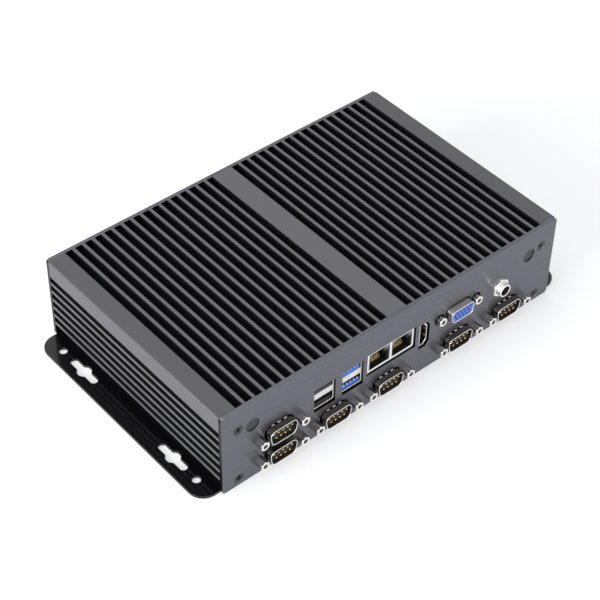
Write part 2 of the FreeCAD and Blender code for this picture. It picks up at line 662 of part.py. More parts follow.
# ---- twin data ports ------------------------------------------------------------------
def data_mouth_floors():
    """Z of the lower wall's inner face in each of the two mouths of a data port."""
    low = DATA_PORT_BOTTOM + DATA_PORT_WALL
    return (low, DATA_PORT_TOP - DATA_PORT_WALL - DATA_PORT_MOUTH_H)


def data_shell(x):
    """Folded shell with two mouths, one above the other, and a band between them."""
    front = SHELL_FRONT + DATA_PORT_SETBACK
    width, _, depth = DATA_PORT_SIZE
    body = box(around(x, width), (front, front + depth), (DATA_PORT_BOTTOM, DATA_PORT_TOP))
    inner_w = width - 2 * DATA_PORT_WALL
    mouths = [box(around(x, inner_w), (front, front + depth - DATA_PORT_WALL),
                  (floor, floor + DATA_PORT_MOUTH_H)) for floor in data_mouth_floors()]
    return cut_all(body, mouths)


def data_tongues(x):
    """One insulating tongue in each mouth, with the block that carries it."""
    front = SHELL_FRONT + DATA_PORT_SETBACK
    back = front + DATA_PORT_SIZE[2] - DATA_PORT_WALL
    inner_w = DATA_PORT_SIZE[0] - 2 * DATA_PORT_WALL
    width, thickness, length = TONGUE
    tongues = []
    for floor in data_mouth_floors():
        tip = front + TONGUE_SETBACK
        low = floor + TONGUE_LIFT
        tongue = box(around(x, width), (tip, back), (low, low + thickness))
        block = box(around(x, inner_w), (tip + length, back), (floor, floor + DATA_PORT_MOUTH_H))
        tongues.append(fuse_all([tongue, block]))
    return tongues


def data_contacts(x, count):
    """Flat contacts on the upper face of each tongue."""
    tip = SHELL_FRONT + DATA_PORT_SETBACK + TONGUE_SETBACK
    pitch = (TONGUE[0] - 2 * CONTACT_MARGIN) / (count - 1)
    contacts = []
    for floor in data_mouth_floors():
        low = floor + TONGUE_LIFT + TONGUE[1]
        for k in range(count):
            centre = x + (k - (count - 1) / 2) * pitch
            contacts.append(box(around(centre, CONTACT_W), (tip + CONTACT_SETBACK, tip + TONGUE[2]),
                                (low, low + CONTACT_T)))
    return contacts


# ---- twin network jack ----------------------------------------------------------------
def network_centres():
    """X of the two jacks, one in each half of the shield."""
    half = (NETWORK_SIZE[0] - 2 * NETWORK_WALL - NETWORK_DIVIDER) / 2
    offset = (half + NETWORK_DIVIDER) / 2
    return half, [NETWORK_X - offset, NETWORK_X + offset]


def network_shield():
    """Tin-plated shield with one cell for each jack."""
    front = FRONT + NETWORK_SETBACK
    width, height, depth = NETWORK_SIZE
    half, centres = network_centres()
    body = box(around(NETWORK_X, width), (front, front + depth), around(NETWORK_Z, height))
    cells = [box(around(x, half), (front, front + depth - NETWORK_WALL),
                 around(NETWORK_Z, height - 2 * NETWORK_WALL)) for x in centres]
    return cut_all(body, cells)


def network_cores():
    """Black inserts, each with a plug hole, a latch notch and seats for two light pipes."""
    front = FRONT + NETWORK_SETBACK
    half, centres = network_centres()
    cell_h = NETWORK_SIZE[1] - 2 * NETWORK_WALL
    floor = NETWORK_Z - cell_h / 2
    pipe_w, pipe_h, pipe_l = LIGHT_PIPE
    cores = []
    for x in centres:
        block = box(around(x, half), (front, front + NETWORK_SIZE[2] - NETWORK_WALL),
                    (floor, floor + cell_h))
        low = floor + PLUG_HOLE_LIFT
        high = low + PLUG_HOLE[1]
        tools = [box(around(x, PLUG_HOLE[0]), (front, front + PLUG_DEPTH), (low, high)),
                 box(around(x, LATCH_HOLE[0]), (front, front + PLUG_DEPTH),
                     (high, high + LATCH_HOLE[1]))]
        for px in light_pipe_limits(x, half):
            tools.append(box(px, (front, front + pipe_l), (floor + cell_h - pipe_h, floor + cell_h)))
        cores.append(cut_all(block, tools))
    return cores


def light_pipe_limits(x, half):
    """X limits of the two light pipes in a jack's upper corners."""
    width = LIGHT_PIPE[0]
    return [(x - half / 2, x - half / 2 + width), (x + half / 2 - width, x + half / 2)]


def network_lights():
    """Clear light pipes in the upper corners of each jack."""
    front = FRONT + NETWORK_SETBACK
    half, centres = network_centres()
    ceiling = NETWORK_Z + NETWORK_SIZE[1] / 2 - NETWORK_WALL
    return [box(px, (front, front + LIGHT_PIPE[2]), (ceiling - LIGHT_PIPE[1], ceiling))
            for x in centres for px in light_pipe_limits(x, half)]


def network_contacts():
    """Spring wires that slope up from the floor of each plug hole towards its back."""
    front = FRONT + NETWORK_SETBACK
    _, centres = network_centres()
    floor = NETWORK_Z - NETWORK_SIZE[1] / 2 + NETWORK_WALL + PLUG_HOLE_LIFT
    start, end = front + WIRE_SETBACK, front + PLUG_DEPTH
    wires = []
    for x in centres:
        for k in range(NETWORK_WIRES):
            left = x + (k - (NETWORK_WIRES - 1) / 2) * WIRE_PITCH - WIRE_W / 2
            outline = [V(left, start, floor), V(left, start + WIRE_W, floor),
                       V(left, end, floor + WIRE_RISE - WIRE_W), V(left, end, floor + WIRE_RISE)]
            wires.append(polygon_face(outline).extrude(V(WIRE_W, 0, 0)))
    return wires


# ---- digital video socket -------------------------------------------------------------
def hd_video_outline(y, grow=0.0):
    """Bar along Y with the socket's outline: upright, with its two right corners cut."""
    x, z = HD_VIDEO_CENTRE
    half_w, half_h = HD_VIDEO_SIZE[0] / 2 + grow, HD_VIDEO_SIZE[1] / 2 + grow
    cut_x, cut_z = HD_VIDEO_CHAMFER
    corners = [(x - half_w, z - half_h), (x + half_w - cut_x, z - half_h),
               (x + half_w, z - half_h + cut_z), (x + half_w, z + half_h - cut_z),
               (x + half_w - cut_x, z + half_h), (x - half_w, z + half_h)]
    return prism_y(corners, y)


def hd_video_shell():
    """Folded shell of the digital video socket."""
    front = FRONT + HD_VIDEO_SETBACK
    length = (front, front + HD_VIDEO_SIZE[2])
    return hd_video_outline(length).cut(hd_video_outline(length, -HD_VIDEO_WALL))


def hd_video_core():
    """Black insulator: a tongue in the mouth and a block that hangs from the board."""
    front = FRONT + HD_VIDEO_SETBACK
    back = front + HD_VIDEO_SIZE[2]
    x, z = HD_VIDEO_CENTRE
    thickness, height, length = HD_VIDEO_TONGUE
    tip = back - HD_VIDEO_PLUG - length
    tongue = box(around(x - HD_VIDEO_TONGUE_SHIFT, thickness), (tip, back), around(z, height))
    plug = hd_video_outline((back - HD_VIDEO_PLUG, back), -HD_VIDEO_WALL)
    block = box(around(x, HD_VIDEO_SIZE[0]), (back, back + HD_VIDEO_BLOCK),
                (z - HD_VIDEO_SIZE[1] / 2, BOARD_UNDERSIDE_Z))
    return fuse_all([tongue, plug, block])


# ---- power inlet ----------------------------------------------------------------------
def inlet_body():
    """Moulded block that hangs from the board and closes the barrel's back."""
    x, z = INLET_CENTRE
    width, height, depth = INLET_BODY
    block = box(around(x, width), (SHELL_FRONT, SHELL_FRONT + depth),
                (z - height / 2, BOARD_UNDERSIDE_Z))
    seat_end = FRONT - INLET_BARREL_RISE + INLET_BORE_DEPTH
    return block.cut(bar_y(x, z, INLET_BARREL_R, (SHELL_FRONT, seat_end), SMOOTH_SIDES))


def inlet_barrel():
    """Plated barrel, threaded outside, that stands out through the panel."""
    x, z = INLET_CENTRE
    tip = FRONT - INLET_BARREL_RISE
    length = (tip, tip + INLET_BORE_DEPTH)
    return rod_y(x, z, INLET_BARREL_R, length).cut(rod_y(x, z, INLET_BORE_R, length))


def inlet_nut():
    """Hexagonal nut with chamfered corners that clamps the barrel to the panel."""
    x, z = INLET_CENTRE
    nut = hexagon(x, z, INLET_NUT_FLAT, (FRONT - INLET_NUT_T, FRONT))
    corner_r = INLET_NUT_FLAT / math.sqrt(3)
    turned_blank = rod_y(x, z, corner_r, (FRONT - INLET_NUT_T, FRONT))
    rims = [e for e in turned_blank.Edges
            if abs(e.CenterOfMass.y - (FRONT - INLET_NUT_T)) < LINEAR_TOLERANCE]
    chamfer = (corner_r - INLET_NUT_FLAT / 2) * INLET_NUT_CHAMFER
    nut = nut.common(turned_blank.makeChamfer(chamfer, rims))
    return nut.cut(bar_y(x, z, INLET_BARREL_R, (FRONT - INLET_NUT_T, FRONT), SMOOTH_SIDES))


def inlet_pin():
    """Centre pin, fixed in the moulded block."""
    x, z = INLET_CENTRE
    back = FRONT - INLET_BARREL_RISE + INLET_BORE_DEPTH
    return bar_y(x, z, INLET_PIN_R, (back - INLET_PIN_LENGTH, back), FINE_SIDES)


# ---- rear controls --------------------------------------------------------------------
def switch_body():
    """Metal switch body: bezel outside the panel and a stepped bore for the button."""
    bezel = rod_y(BUTTON_X, BUTTON_Z, BEZEL_R, (REAR, REAR + BEZEL_T))
    barrel = bar_y(BUTTON_X, BUTTON_Z, SWITCH_BARREL_R, (REAR - SWITCH_LENGTH, REAR), FINE_SIDES)
    lip_y = button_shoulder_limits()[1] + RUNNING_GAP
    chamber_end = button_shoulder_limits()[0] - BUTTON_TRAVEL - RUNNING_GAP
    bores = [rod_y(BUTTON_X, BUTTON_Z, BUTTON_R + RUNNING_GAP, (lip_y, REAR + BEZEL_T)),
             bar_y(BUTTON_X, BUTTON_Z, BUTTON_SHOULDER_R + RUNNING_GAP, (chamber_end, lip_y),
                   SMOOTH_SIDES)]
    return cut_all(fuse_all([bezel, barrel]), bores)


def button_shoulder_limits():
    """Y limits of the shoulder that keeps the button in its body."""
    low = REAR - PANEL_T
    return (low, low + BUTTON_SHOULDER_T)


def power_button():
    """Round cap and the shoulder that keeps it in the switch body."""
    low, high = button_shoulder_limits()
    cap = rod_y(BUTTON_X, BUTTON_Z, BUTTON_R, (high, BUTTON_TIP_Y))
    shoulder = bar_y(BUTTON_X, BUTTON_Z, BUTTON_SHOULDER_R, (low, high), SMOOTH_SIDES)
    return fuse_all([cap, shoulder])


def switch_nut():
    """Flat hexagonal nut behind the rear panel."""
    y = (SHELL_REAR - SWITCH_NUT_T, SHELL_REAR)
    nut = hexagon(BUTTON_X, BUTTON_Z, SWITCH_NUT_FLAT, y)
    return nut.cut(bar_y(BUTTON_X, BUTTON_Z, SWITCH_BARREL_R, y, FINE_SIDES))


def status_lights():
    """Round light pipes in the rear panel, each with a flange behind it."""
    lights = []
    for x in STATUS_LIGHT_X:
        stem = bar_y(x, BUTTON_Z, STATUS_LIGHT_R,
                     (REAR - STATUS_LIGHT_LENGTH, REAR + STATUS_LIGHT_PROUD), FINE_SIDES)
        flange = bar_y(x, BUTTON_Z, STATUS_FLANGE_R,
                       (SHELL_REAR - STATUS_FLANGE_T, SHELL_REAR), FINE_SIDES)
        lights.append(fuse_all([stem, flange]))
    return lights


# ---- inside ---------------------------------------------------------------------------
def board_hole_places():
    """X and Y of the four holes that hang the main board."""
    xs = (MAIN_BOARD_X[0] + BOARD_HOLE_INSET, MAIN_BOARD_X[1] - BOARD_HOLE_INSET)
    rear = BOARD_FRONT + MAIN_BOARD_DEPTH - BOARD_HOLE_INSET
    return [(x, y) for x in xs for y in (BOARD_FRONT + BOARD_HOLE_FRONT, rear)]


def main_board():
    """Circuit board that carries the sockets below and the processor above."""
    board = box(MAIN_BOARD_X, (BOARD_FRONT, BOARD_FRONT + MAIN_BOARD_DEPTH),
                (BOARD_UNDERSIDE_Z, BOARD_TOP_Z))
    return cut_all(board, [bar_z(x, y, BOARD_HOLE_R, (BOARD_UNDERSIDE_Z, BOARD_TOP_Z))
                           for x, y in board_hole_places()])


def board_standoffs():
    """Hexagonal standoffs between the main board and the lid."""
    height = (BOARD_TOP_Z, LID_UNDERSIDE_Z)
    return [bar_z(x, y, STANDOFF_FLAT / 2, height, HEXAGON_SIDES)
            .cut(bar_z(x, y, PANEL_SCREW_R, height))
            for x, y in board_hole_places()]


def board_screws():
    """Pan-head screws from below through the main board into its standoffs."""
    screws = []
    for x, y in board_hole_places():
        head = bar_z(x, y, BOARD_SCREW_HEAD_R,
                     (BOARD_UNDERSIDE_Z - BOARD_SCREW_HEAD_H, BOARD_UNDERSIDE_Z), FINE_SIDES)
        shank = bar_z(x, y, PANEL_SCREW_R, (BOARD_UNDERSIDE_Z, LID_UNDERSIDE_Z - TIP_GAP))
        screws.append(fuse_all([head, shank]))
    return screws


def processor():
    """Processor package on the upper face of the main board."""
    x, y = PROCESSOR_CENTRE
    return box(around(x, PROCESSOR[0]), around(y, PROCESSOR[1]),
               (BOARD_TOP_Z, BOARD_TOP_Z + PROCESSOR[2]))


def thermal_pad():
    """Soft pad between the processor and the heat spreader."""
    x, y = PROCESSOR_CENTRE
    low = BOARD_TOP_Z + PROCESSOR[2]
    return box(around(x, PROCESSOR[0]), around(y, PROCESSOR[1]), (low, low + THERMAL_PAD_T))


def heat_spreader():
    """Copper block that carries the processor's heat into the lid."""
    x, y = PROCESSOR_CENTRE
    low = BOARD_TOP_Z + PROCESSOR[2] + THERMAL_PAD_T
    return box(around(x, SPREADER[0]), around(y, SPREADER[1]), (low, LID_UNDERSIDE_Z))


def plug_in_module(centre, size, chips):
    """Circuit board of a module hung below the main board, with its row of chips."""
    x, y = centre
    high = BOARD_UNDERSIDE_Z - MODULE_DROP
    card = box(around(x, size[0]), around(y, size[1]), (high - MODULE_T, high))
    pitch = size[0] / chips
    parts = [card]
    for k in range(chips):
        cx = x + (k - (chips - 1) / 2) * pitch
        parts.append(box(around(cx, pitch * MODULE_CHIP_FILL[0]),
                         around(y - MODULE_GRIP, size[1] * MODULE_CHIP_FILL[1]),
                         (high - MODULE_T - MODULE_CHIP_T, high - MODULE_T)))
    return fuse_all(parts)


def module_socket(centre, size):
    """Socket that grips a module's rear edge and hangs from the main board."""
    x, y = centre
    edge = y + size[1] / 2
    low = BOARD_UNDERSIDE_Z - MODULE_DROP - MODULE_T
    start = edge - MODULE_GRIP
    block = box(around(x, size[0]), (start, start + MODULE_SOCKET_DEPTH),
                (low - MODULE_SOCKET_LIP, BOARD_UNDERSIDE_Z))
    slot = box(around(x, size[0]), (start, edge), (low, low + MODULE_T))
    return block.cut(slot)


def coin_cell():
    """Clock battery, flat against the underside of the main board."""
    x, y = CELL_CENTRE
    return bar_z(x, y, CELL_R, (BOARD_UNDERSIDE_Z - CELL_T, BOARD_UNDERSIDE_Z), SMOOTH_SIDES)


def power_coils():
    """Row of moulded coils that feed the processor."""
    low = BOARD_UNDERSIDE_Z - COIL[2]
    return [box(around(x, COIL[0]), around(COIL_Y, COIL[1]), (low, BOARD_UNDERSIDE_Z))
            for x in COIL_ROW_X]


def serial_board():
    """Upright board behind the serial ports, with a tab behind the stacked one."""
    y = (SERIAL_BOARD_Y, SERIAL_BOARD_Y + BOARD_T)
    strip = box(SERIAL_BOARD_X, y, (SERIAL_BOARD_LOW, SERIAL_BOARD_HIGH))
    tab = box((SERIAL_BOARD_X[0], SERIAL_BOARD_TAB_X), y, (SERIAL_BOARD_LOW, SERIAL_TAB_TOP))
    return fuse_all([strip, tab])


def board_link():
    """Plug that joins the serial board's upper edge to the underside of the main board."""
    middle = SERIAL_BOARD_Y + BOARD_T / 2
    return box((SERIAL_BOARD_TAB_X - LINK_SIZE[0], SERIAL_BOARD_TAB_X),
               around(middle, LINK_SIZE[1]), (SERIAL_TAB_TOP, BOARD_UNDERSIDE_Z))


# ---- assembly -------------------------------------------------------------------------
def all_nodes():
    """Every node's name with its solid, or its list of separate solids."""
    nodes = {
        "heatsink_shell": heatsink_shell(),
        "front_panel": front_panel(),
        "rear_panel": rear_panel(),
        "base_plate": base_plate(),
        "front_panel_screws": panel_screws(front=True),
        "rear_panel_screws": panel_screws(front=False),
        "base_screws": base_screws(),
        "video_shell": video_shell(),
        "video_core": video_core(),
        "video_jackscrews": jackscrews(jackscrew_places(*VIDEO_CENTRE),
                                       SHELL_FRONT + VIDEO_SETBACK),
        "network_shield": network_shield(),
        "network_cores": network_cores(),
        "network_lights": network_lights(),
        "network_contacts": network_contacts(),
        "hd_video_shell": hd_video_shell(),
        "hd_video_core": hd_video_core(),
        "inlet_body": inlet_body(),
        "inlet_barrel": inlet_barrel(),
        "inlet_nut": inlet_nut(),
        "inlet_pin": inlet_pin(),
        "switch_body": switch_body(),
        "power_button": power_button(),
        "switch_nut": switch_nut(),
        "status_lights": status_lights(),
        "main_board": main_board(),
        "board_standoffs": board_standoffs(),
        "board_screws": board_screws(),
        "processor": processor(),
        "thermal_pad": thermal_pad(),
        "heat_spreader": heat_spreader(),
        "memory_module": plug_in_module(MEMORY_CENTRE, MEMORY_MODULE, MEMORY_CHIPS),
        "memory_socket": module_socket(MEMORY_CENTRE, MEMORY_MODULE),
        "drive_module": plug_in_module(DRIVE_CENTRE, DRIVE_MODULE, DRIVE_CHIPS),
        "drive_socket": module_socket(DRIVE_CENTRE, DRIVE_MODULE),
        "coin_cell": coin_cell(),
        "power_coils": power_coils(),
        "serial_board": serial_board(),
        "board_link": board_link(),
    }
    screw_places = []
    pins = []
    for number, (x, z) in enumerate(SERIAL_PLACES, start=1):
        nodes["serial_shell_%d" % number] = serial_shell(x, z)
        nodes["serial_core_%d" % number] = serial_core(x, z)
        pins += serial_pins(x, z)
        screw_places += jackscrew_places(x, z)
    nodes["serial_pins"] = pins
    nodes["serial_jackscrews"] = jackscrews(screw_places, FRONT)
    for name, x, count in zip(("slow", "fast"), DATA_PORT_X, (SLOW_CONTACTS, FAST_CONTACTS)):
        nodes["%s_data_shell" % name] = data_shell(x)
        nodes["%s_data_tongues" % name] = data_tongues(x)
        nodes["%s_data_contacts" % name] = data_contacts(x, count)
    return nodes


def main():
    os.makedirs("parts", exist_ok=True)
    nodes = all_nodes()
    for name, shape in nodes.items():
        solids = shape if isinstance(shape, list) else shape.Solids
        whole = solids[0] if len(solids) == 1 else Part.makeCompound(solids)
        if not whole.isValid():
            print("not valid:", name)
        whole.exportStep("parts/%s.step" % name)
        print("%-20s %2d solids %10.1f mm3" % (name, len(solids), sum(s.Volume for s in solids)))
    print(len(nodes), "nodes")


main()
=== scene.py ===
# %% [markdown]
# Fanless industrial computer.
#
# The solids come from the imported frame: a finned extrusion, two brushed end panels, a slotted
# base plate and the sockets on the front.  This lesson gives each of them its finish and
# replaces the small turned and pressed pieces, whose curves show, with finer surfaces.
# The frame is in metres, and so are the lamps and the camera; the sizes of pieces are written
# in millimetres, which MM turns into metres.  The front panel faces -Y and +Z is up.

# %% Load the frame
import json
import math

import bmesh
import bpy
import numpy as np
from mathutils import Matrix, Vector
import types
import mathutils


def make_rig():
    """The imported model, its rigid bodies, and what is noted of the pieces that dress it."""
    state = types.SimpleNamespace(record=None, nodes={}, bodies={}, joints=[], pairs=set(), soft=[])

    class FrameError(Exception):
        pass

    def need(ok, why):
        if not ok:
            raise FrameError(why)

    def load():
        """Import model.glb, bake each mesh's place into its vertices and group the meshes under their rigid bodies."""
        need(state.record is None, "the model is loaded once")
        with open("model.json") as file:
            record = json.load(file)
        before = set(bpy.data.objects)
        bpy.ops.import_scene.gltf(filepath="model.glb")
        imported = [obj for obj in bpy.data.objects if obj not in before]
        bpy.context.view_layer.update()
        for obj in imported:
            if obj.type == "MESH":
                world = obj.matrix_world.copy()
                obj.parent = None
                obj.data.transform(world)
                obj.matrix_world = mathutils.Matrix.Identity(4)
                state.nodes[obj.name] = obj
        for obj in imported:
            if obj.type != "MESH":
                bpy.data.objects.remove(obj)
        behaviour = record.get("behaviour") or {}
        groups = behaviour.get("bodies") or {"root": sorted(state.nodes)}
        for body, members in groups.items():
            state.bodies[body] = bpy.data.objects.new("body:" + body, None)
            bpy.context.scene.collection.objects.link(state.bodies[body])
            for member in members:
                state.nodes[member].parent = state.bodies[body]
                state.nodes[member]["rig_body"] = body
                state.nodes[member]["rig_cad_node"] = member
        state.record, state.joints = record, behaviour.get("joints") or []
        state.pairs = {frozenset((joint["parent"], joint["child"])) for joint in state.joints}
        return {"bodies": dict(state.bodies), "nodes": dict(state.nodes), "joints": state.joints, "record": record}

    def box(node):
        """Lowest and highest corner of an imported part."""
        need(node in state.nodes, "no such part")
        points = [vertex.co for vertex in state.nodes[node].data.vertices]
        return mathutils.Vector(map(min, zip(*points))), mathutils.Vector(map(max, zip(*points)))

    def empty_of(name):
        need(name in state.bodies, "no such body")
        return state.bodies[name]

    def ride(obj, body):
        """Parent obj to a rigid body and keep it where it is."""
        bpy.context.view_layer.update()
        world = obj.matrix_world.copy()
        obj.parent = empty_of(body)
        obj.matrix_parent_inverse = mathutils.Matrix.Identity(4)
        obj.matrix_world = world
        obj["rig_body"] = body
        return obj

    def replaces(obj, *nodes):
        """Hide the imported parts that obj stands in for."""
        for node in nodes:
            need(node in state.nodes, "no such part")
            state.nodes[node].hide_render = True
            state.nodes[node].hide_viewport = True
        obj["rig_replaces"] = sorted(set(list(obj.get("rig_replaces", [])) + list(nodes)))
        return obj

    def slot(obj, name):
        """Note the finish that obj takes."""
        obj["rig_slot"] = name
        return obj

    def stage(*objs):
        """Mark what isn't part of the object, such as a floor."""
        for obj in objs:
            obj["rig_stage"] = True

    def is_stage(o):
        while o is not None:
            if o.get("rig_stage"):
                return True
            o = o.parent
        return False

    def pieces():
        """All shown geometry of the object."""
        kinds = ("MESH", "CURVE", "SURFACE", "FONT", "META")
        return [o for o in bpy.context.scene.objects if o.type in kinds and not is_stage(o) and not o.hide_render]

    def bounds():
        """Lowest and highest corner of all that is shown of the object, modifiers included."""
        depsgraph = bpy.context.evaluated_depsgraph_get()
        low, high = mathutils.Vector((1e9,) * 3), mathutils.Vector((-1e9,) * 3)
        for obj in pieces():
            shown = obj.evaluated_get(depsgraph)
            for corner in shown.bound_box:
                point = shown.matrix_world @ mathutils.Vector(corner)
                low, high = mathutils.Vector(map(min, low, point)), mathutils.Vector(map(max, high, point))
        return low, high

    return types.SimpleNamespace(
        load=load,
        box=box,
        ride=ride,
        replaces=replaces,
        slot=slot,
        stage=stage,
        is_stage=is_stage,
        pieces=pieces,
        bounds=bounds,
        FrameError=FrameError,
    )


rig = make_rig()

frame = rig.load()
cad_box = [list(corner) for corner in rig.bounds()]
nodes = frame["nodes"]
MM = 0.001                          # metres
print("frame:", len(nodes), "nodes, box", [[round(v / MM, 1) for v in c] for c in cad_box])

# %% [markdown]
# Most of the new pieces are lofts.  A loft is a stack of closed outlines with as many points
# each, joined row by row, so a whole piece is one array of points and one array of quads.
# That keeps its formula in plain sight, which a chain of modifiers would hide.  Plated pieces
# take darker copies of their plating on walls and bores as painted shade, and bright gold on a
# few springs as a painted highlight, so a loft can also mark some of its rows of faces with a
# second or third finish.

# %% Surfaces from arrays of points


def grid_quads(rows, columns):
    """Quads of a grid whose last column joins its first: each quad is a point, its right
    neighbour, and the same two in the next row."""
    row = np.arange(rows - 1)[:, None] * columns
    column = np.arange(columns)[None, :]
    beside = (column + 1) % columns
    quads = [row + column, row + beside, row + beside + columns, row + column + columns]
    return np.stack(quads, -1).reshape(-1, 4)


def loft(rings):
    """Points and faces of a stack of rings, shaped (rows, columns, 3), closed at both ends."""
    rings = np.asarray(rings, float)
    rows, columns = rings.shape[:2]
    ends = [list(range(columns)), list(range((rows - 1) * columns, rows * columns))]
    return rings.reshape(-1, 3), grid_quads(rows, columns).tolist() + ends


def band(rings):
    """Loft whose last ring joins its first: a wall with no open edge."""
    rings = np.asarray(rings, float)
    rows, columns = rings.shape[:2]
    quads = grid_quads(rows + 1, columns) % (rows * columns)
    return rings.reshape(-1, 3), quads.tolist()


def lined(part, columns, *rows):
    """The same loft with its finishes marked: each (first, last, number) gives the rows of
    faces from first up to last the finish of that number; the others keep number 0."""
    points, faces = part
    finishes = np.zeros(len(faces), int)
    for first, last, number in rows:
        finishes[first * columns:last * columns] = number
    return points, faces, finishes


def add_piece(name, parts, materials, stands_for=(), slot=None, sharp=35, body="chassis"):
    """One object from several lofts, smooth except across edges sharper than the angle, that
    takes the place of the solids it stands for.  A lined loft brings the number of each face's
    finish; a plain one uses the first."""
    points, faces, numbers, first = [], [], [], 0
    for part_points, part_faces, *part_numbers in parts:
        points.append(part_points)
        faces += [[index + first for index in face] for face in part_faces]
        numbers.append(part_numbers[0] if part_numbers else np.zeros(len(part_faces), int))
        first += len(part_points)
    mesh = bpy.data.meshes.new(name)
    mesh.from_pydata((np.vstack(points) * MM).tolist(), [], faces)
    tidy = bmesh.new()
    tidy.from_mesh(mesh)
    bmesh.ops.recalc_face_normals(tidy, faces=tidy.faces)
    tidy.to_mesh(mesh)
    tidy.free()
    mesh.shade_smooth()
    mesh.set_sharp_from_angle(angle=math.radians(sharp))
    for material in materials if isinstance(materials, tuple) else (materials,):
        mesh.materials.append(material)
    mesh.polygons.foreach_set("material_index", np.concatenate(numbers))
    piece = bpy.data.objects.new(name, mesh)
    bpy.context.scene.collection.objects.link(piece)
    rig.ride(piece, body)
    if stands_for:
        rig.replaces(piece, *stands_for)
    if slot:
        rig.slot(piece, slot)
    print(name, len(mesh.vertices), "points")


def limits(node):
    """Lowest and highest corner of a CAD node, in millimetres."""
    low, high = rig.box(node)
    return np.array(low) / MM, np.array(high) / MM


def centre_of(node):
    """X and Z of the middle of a node."""
    low, high = limits(node)
    return (low[0] + high[0]) / 2, (low[2] + high[2]) / 2


def depths(node):
    """Y of the front and of the back of a node."""
    low, high = limits(node)
    return low[1], high[1]


def ring(outline, y):
    """An outline of (x, z) pairs stood up at one depth."""
    outline = np.asarray(outline, float)
    return np.column_stack([outline[:, 0], np.full(len(outline), y), outline[:, 1]])


def rounded(corners, radius, steps=8):
    """Outline of convex corners, given anticlockwise.  Each corner becomes an arc whose
    centre is on its bisector, the radius over the sine of half the corner away from it."""
    corner = np.asarray(corners, float)
    back = np.roll(corner, 1, 0) - corner
    ahead = np.roll(corner, -1, 0) - corner
    back /= np.linalg.norm(back, axis=1, keepdims=True)
    ahead /= np.linalg.norm(ahead, axis=1, keepdims=True)
    half = np.arccos((back * ahead).sum(1)) / 2
    inward = (back + ahead) / np.linalg.norm(back + ahead, axis=1, keepdims=True)
    centre = corner + inward * (radius / np.sin(half))[:, None]
    middle = np.arctan2(-inward[:, 1], -inward[:, 0])
    turn = middle[:, None] + np.linspace(-0.5, 0.5, steps + 1) * (math.pi - 2 * half)[:, None]
    arc = np.stack([np.cos(turn), np.sin(turn)], -1) * radius
    return (centre[:, None] + arc).reshape(-1, 2)


def turned(centre, profile, columns):
    """Rings of a piece turned about an axis along Y: each profile pair is a radius and a depth."""
    angle = np.linspace(0, 2 * math.pi, columns, endpoint=False)
    radius, depth = np.asarray(profile, float).T
    x = centre[0] + radius[:, None] * np.cos(angle)
    z = centre[1] + radius[:, None] * np.sin(angle)
    return np.stack([x, np.broadcast_to(depth[:, None], x.shape), z], -1)


print("loft helpers ready")

# %% [markdown]
# Materials come next.  Each one is a Principled shader whose colour and roughness follow
# noise read in the object's own coordinates, so the texture stays with the part from every
# side and needs no image.  Stretching the noise along one axis turns it into brushing.

# %% Material helpers


def maths(tree, operation, *values):
    """A number worked out from others, each a plain number or the output of another node."""
    node = tree.nodes.new("ShaderNodeMath")
    node.operation = operation
    for socket, value in zip(node.inputs, values):
        if isinstance(value, float):
            socket.default_value = value
        else:
            tree.links.new(value, socket)
    return node.outputs[0]


class Finish:
    """A material under construction: its shader and short ways to add nodes to it."""

    def __init__(self, name, metallic=0.0, roughness=0.5, color=(0.5, 0.5, 0.5)):
        self.material = bpy.data.materials.new(name)
        self.material.use_nodes = True
        self.tree = self.material.node_tree
        self.shader = self.tree.nodes["Principled BSDF"]
        self.set("Metallic", metallic)
        self.set("Roughness", roughness)
        self.set("Base Color", (*color, 1))
        self.coordinates = self.add("ShaderNodeTexCoord").outputs["Object"]

    def set(self, socket, value):
        self.shader.inputs[socket].default_value = value

    def add(self, kind, **values):
        node = self.tree.nodes.new(kind)
        for key, value in values.items():
            setattr(node, key, value)
        return node

    def link(self, output, socket):
        self.tree.links.new(output, socket)

    def axes(self):
        """The object's own X, Y and Z as three numbers."""
        node = self.add("ShaderNodeSeparateXYZ")
        self.link(self.coordinates, node.inputs[0])
        return node.outputs

    def noise(self, per_mm, detail=3):
        """Noise of so many grains a millimetre, one number or one each along X, Y and Z."""
        mapping = self.add("ShaderNodeMapping")
        mapping.inputs["Scale"].default_value = tuple(np.broadcast_to(per_mm, 3) / MM)
        self.link(self.coordinates, mapping.inputs["Vector"])
        noise = self.add("ShaderNodeTexNoise")
        noise.inputs["Scale"].default_value = 1.0
        noise.inputs["Detail"].default_value = detail
        noise.inputs["Roughness"].default_value = 0.6
        self.link(mapping.outputs["Vector"], noise.inputs["Vector"])
        return noise.outputs["Fac"]

    def spread(self, fac, low, high, start=0.3, end=0.7):
        """A number that follows a factor from low to high."""
        node = self.add("ShaderNodeMapRange")
        names = ("From Min", "From Max", "To Min", "To Max")
        for socket, value in zip(names, (start, end, low, high)):
            node.inputs[socket].default_value = value
        self.link(fac, node.inputs["Value"])
        return node.outputs["Result"]

    def blend(self, fac, first, second):
        """A colour between two, each a colour or the output of another node."""
        node = self.add("ShaderNodeMix", data_type="RGBA")
        self.link(fac, node.inputs["Factor"])
        for socket, value in ((node.inputs[6], first), (node.inputs[7], second)):
            if isinstance(value, tuple):
                socket.default_value = (*value, 1)
            else:
                self.link(value, socket)
        return node.outputs[2]

    def bump(self, height, distance, strength):
        """Raises the surface by a height, as far as the distance in millimetres."""
        node = self.add("ShaderNodeBump")
        node.inputs["Distance"].default_value = distance * MM
        node.inputs["Strength"].default_value = strength
        self.link(height, node.inputs["Height"])
        self.link(node.outputs["Normal"], self.shader.inputs["Normal"])

    def color(self, output):
        self.link(output, self.shader.inputs["Base Color"])

    def roughness(self, output):
        self.link(output, self.shader.inputs["Roughness"])


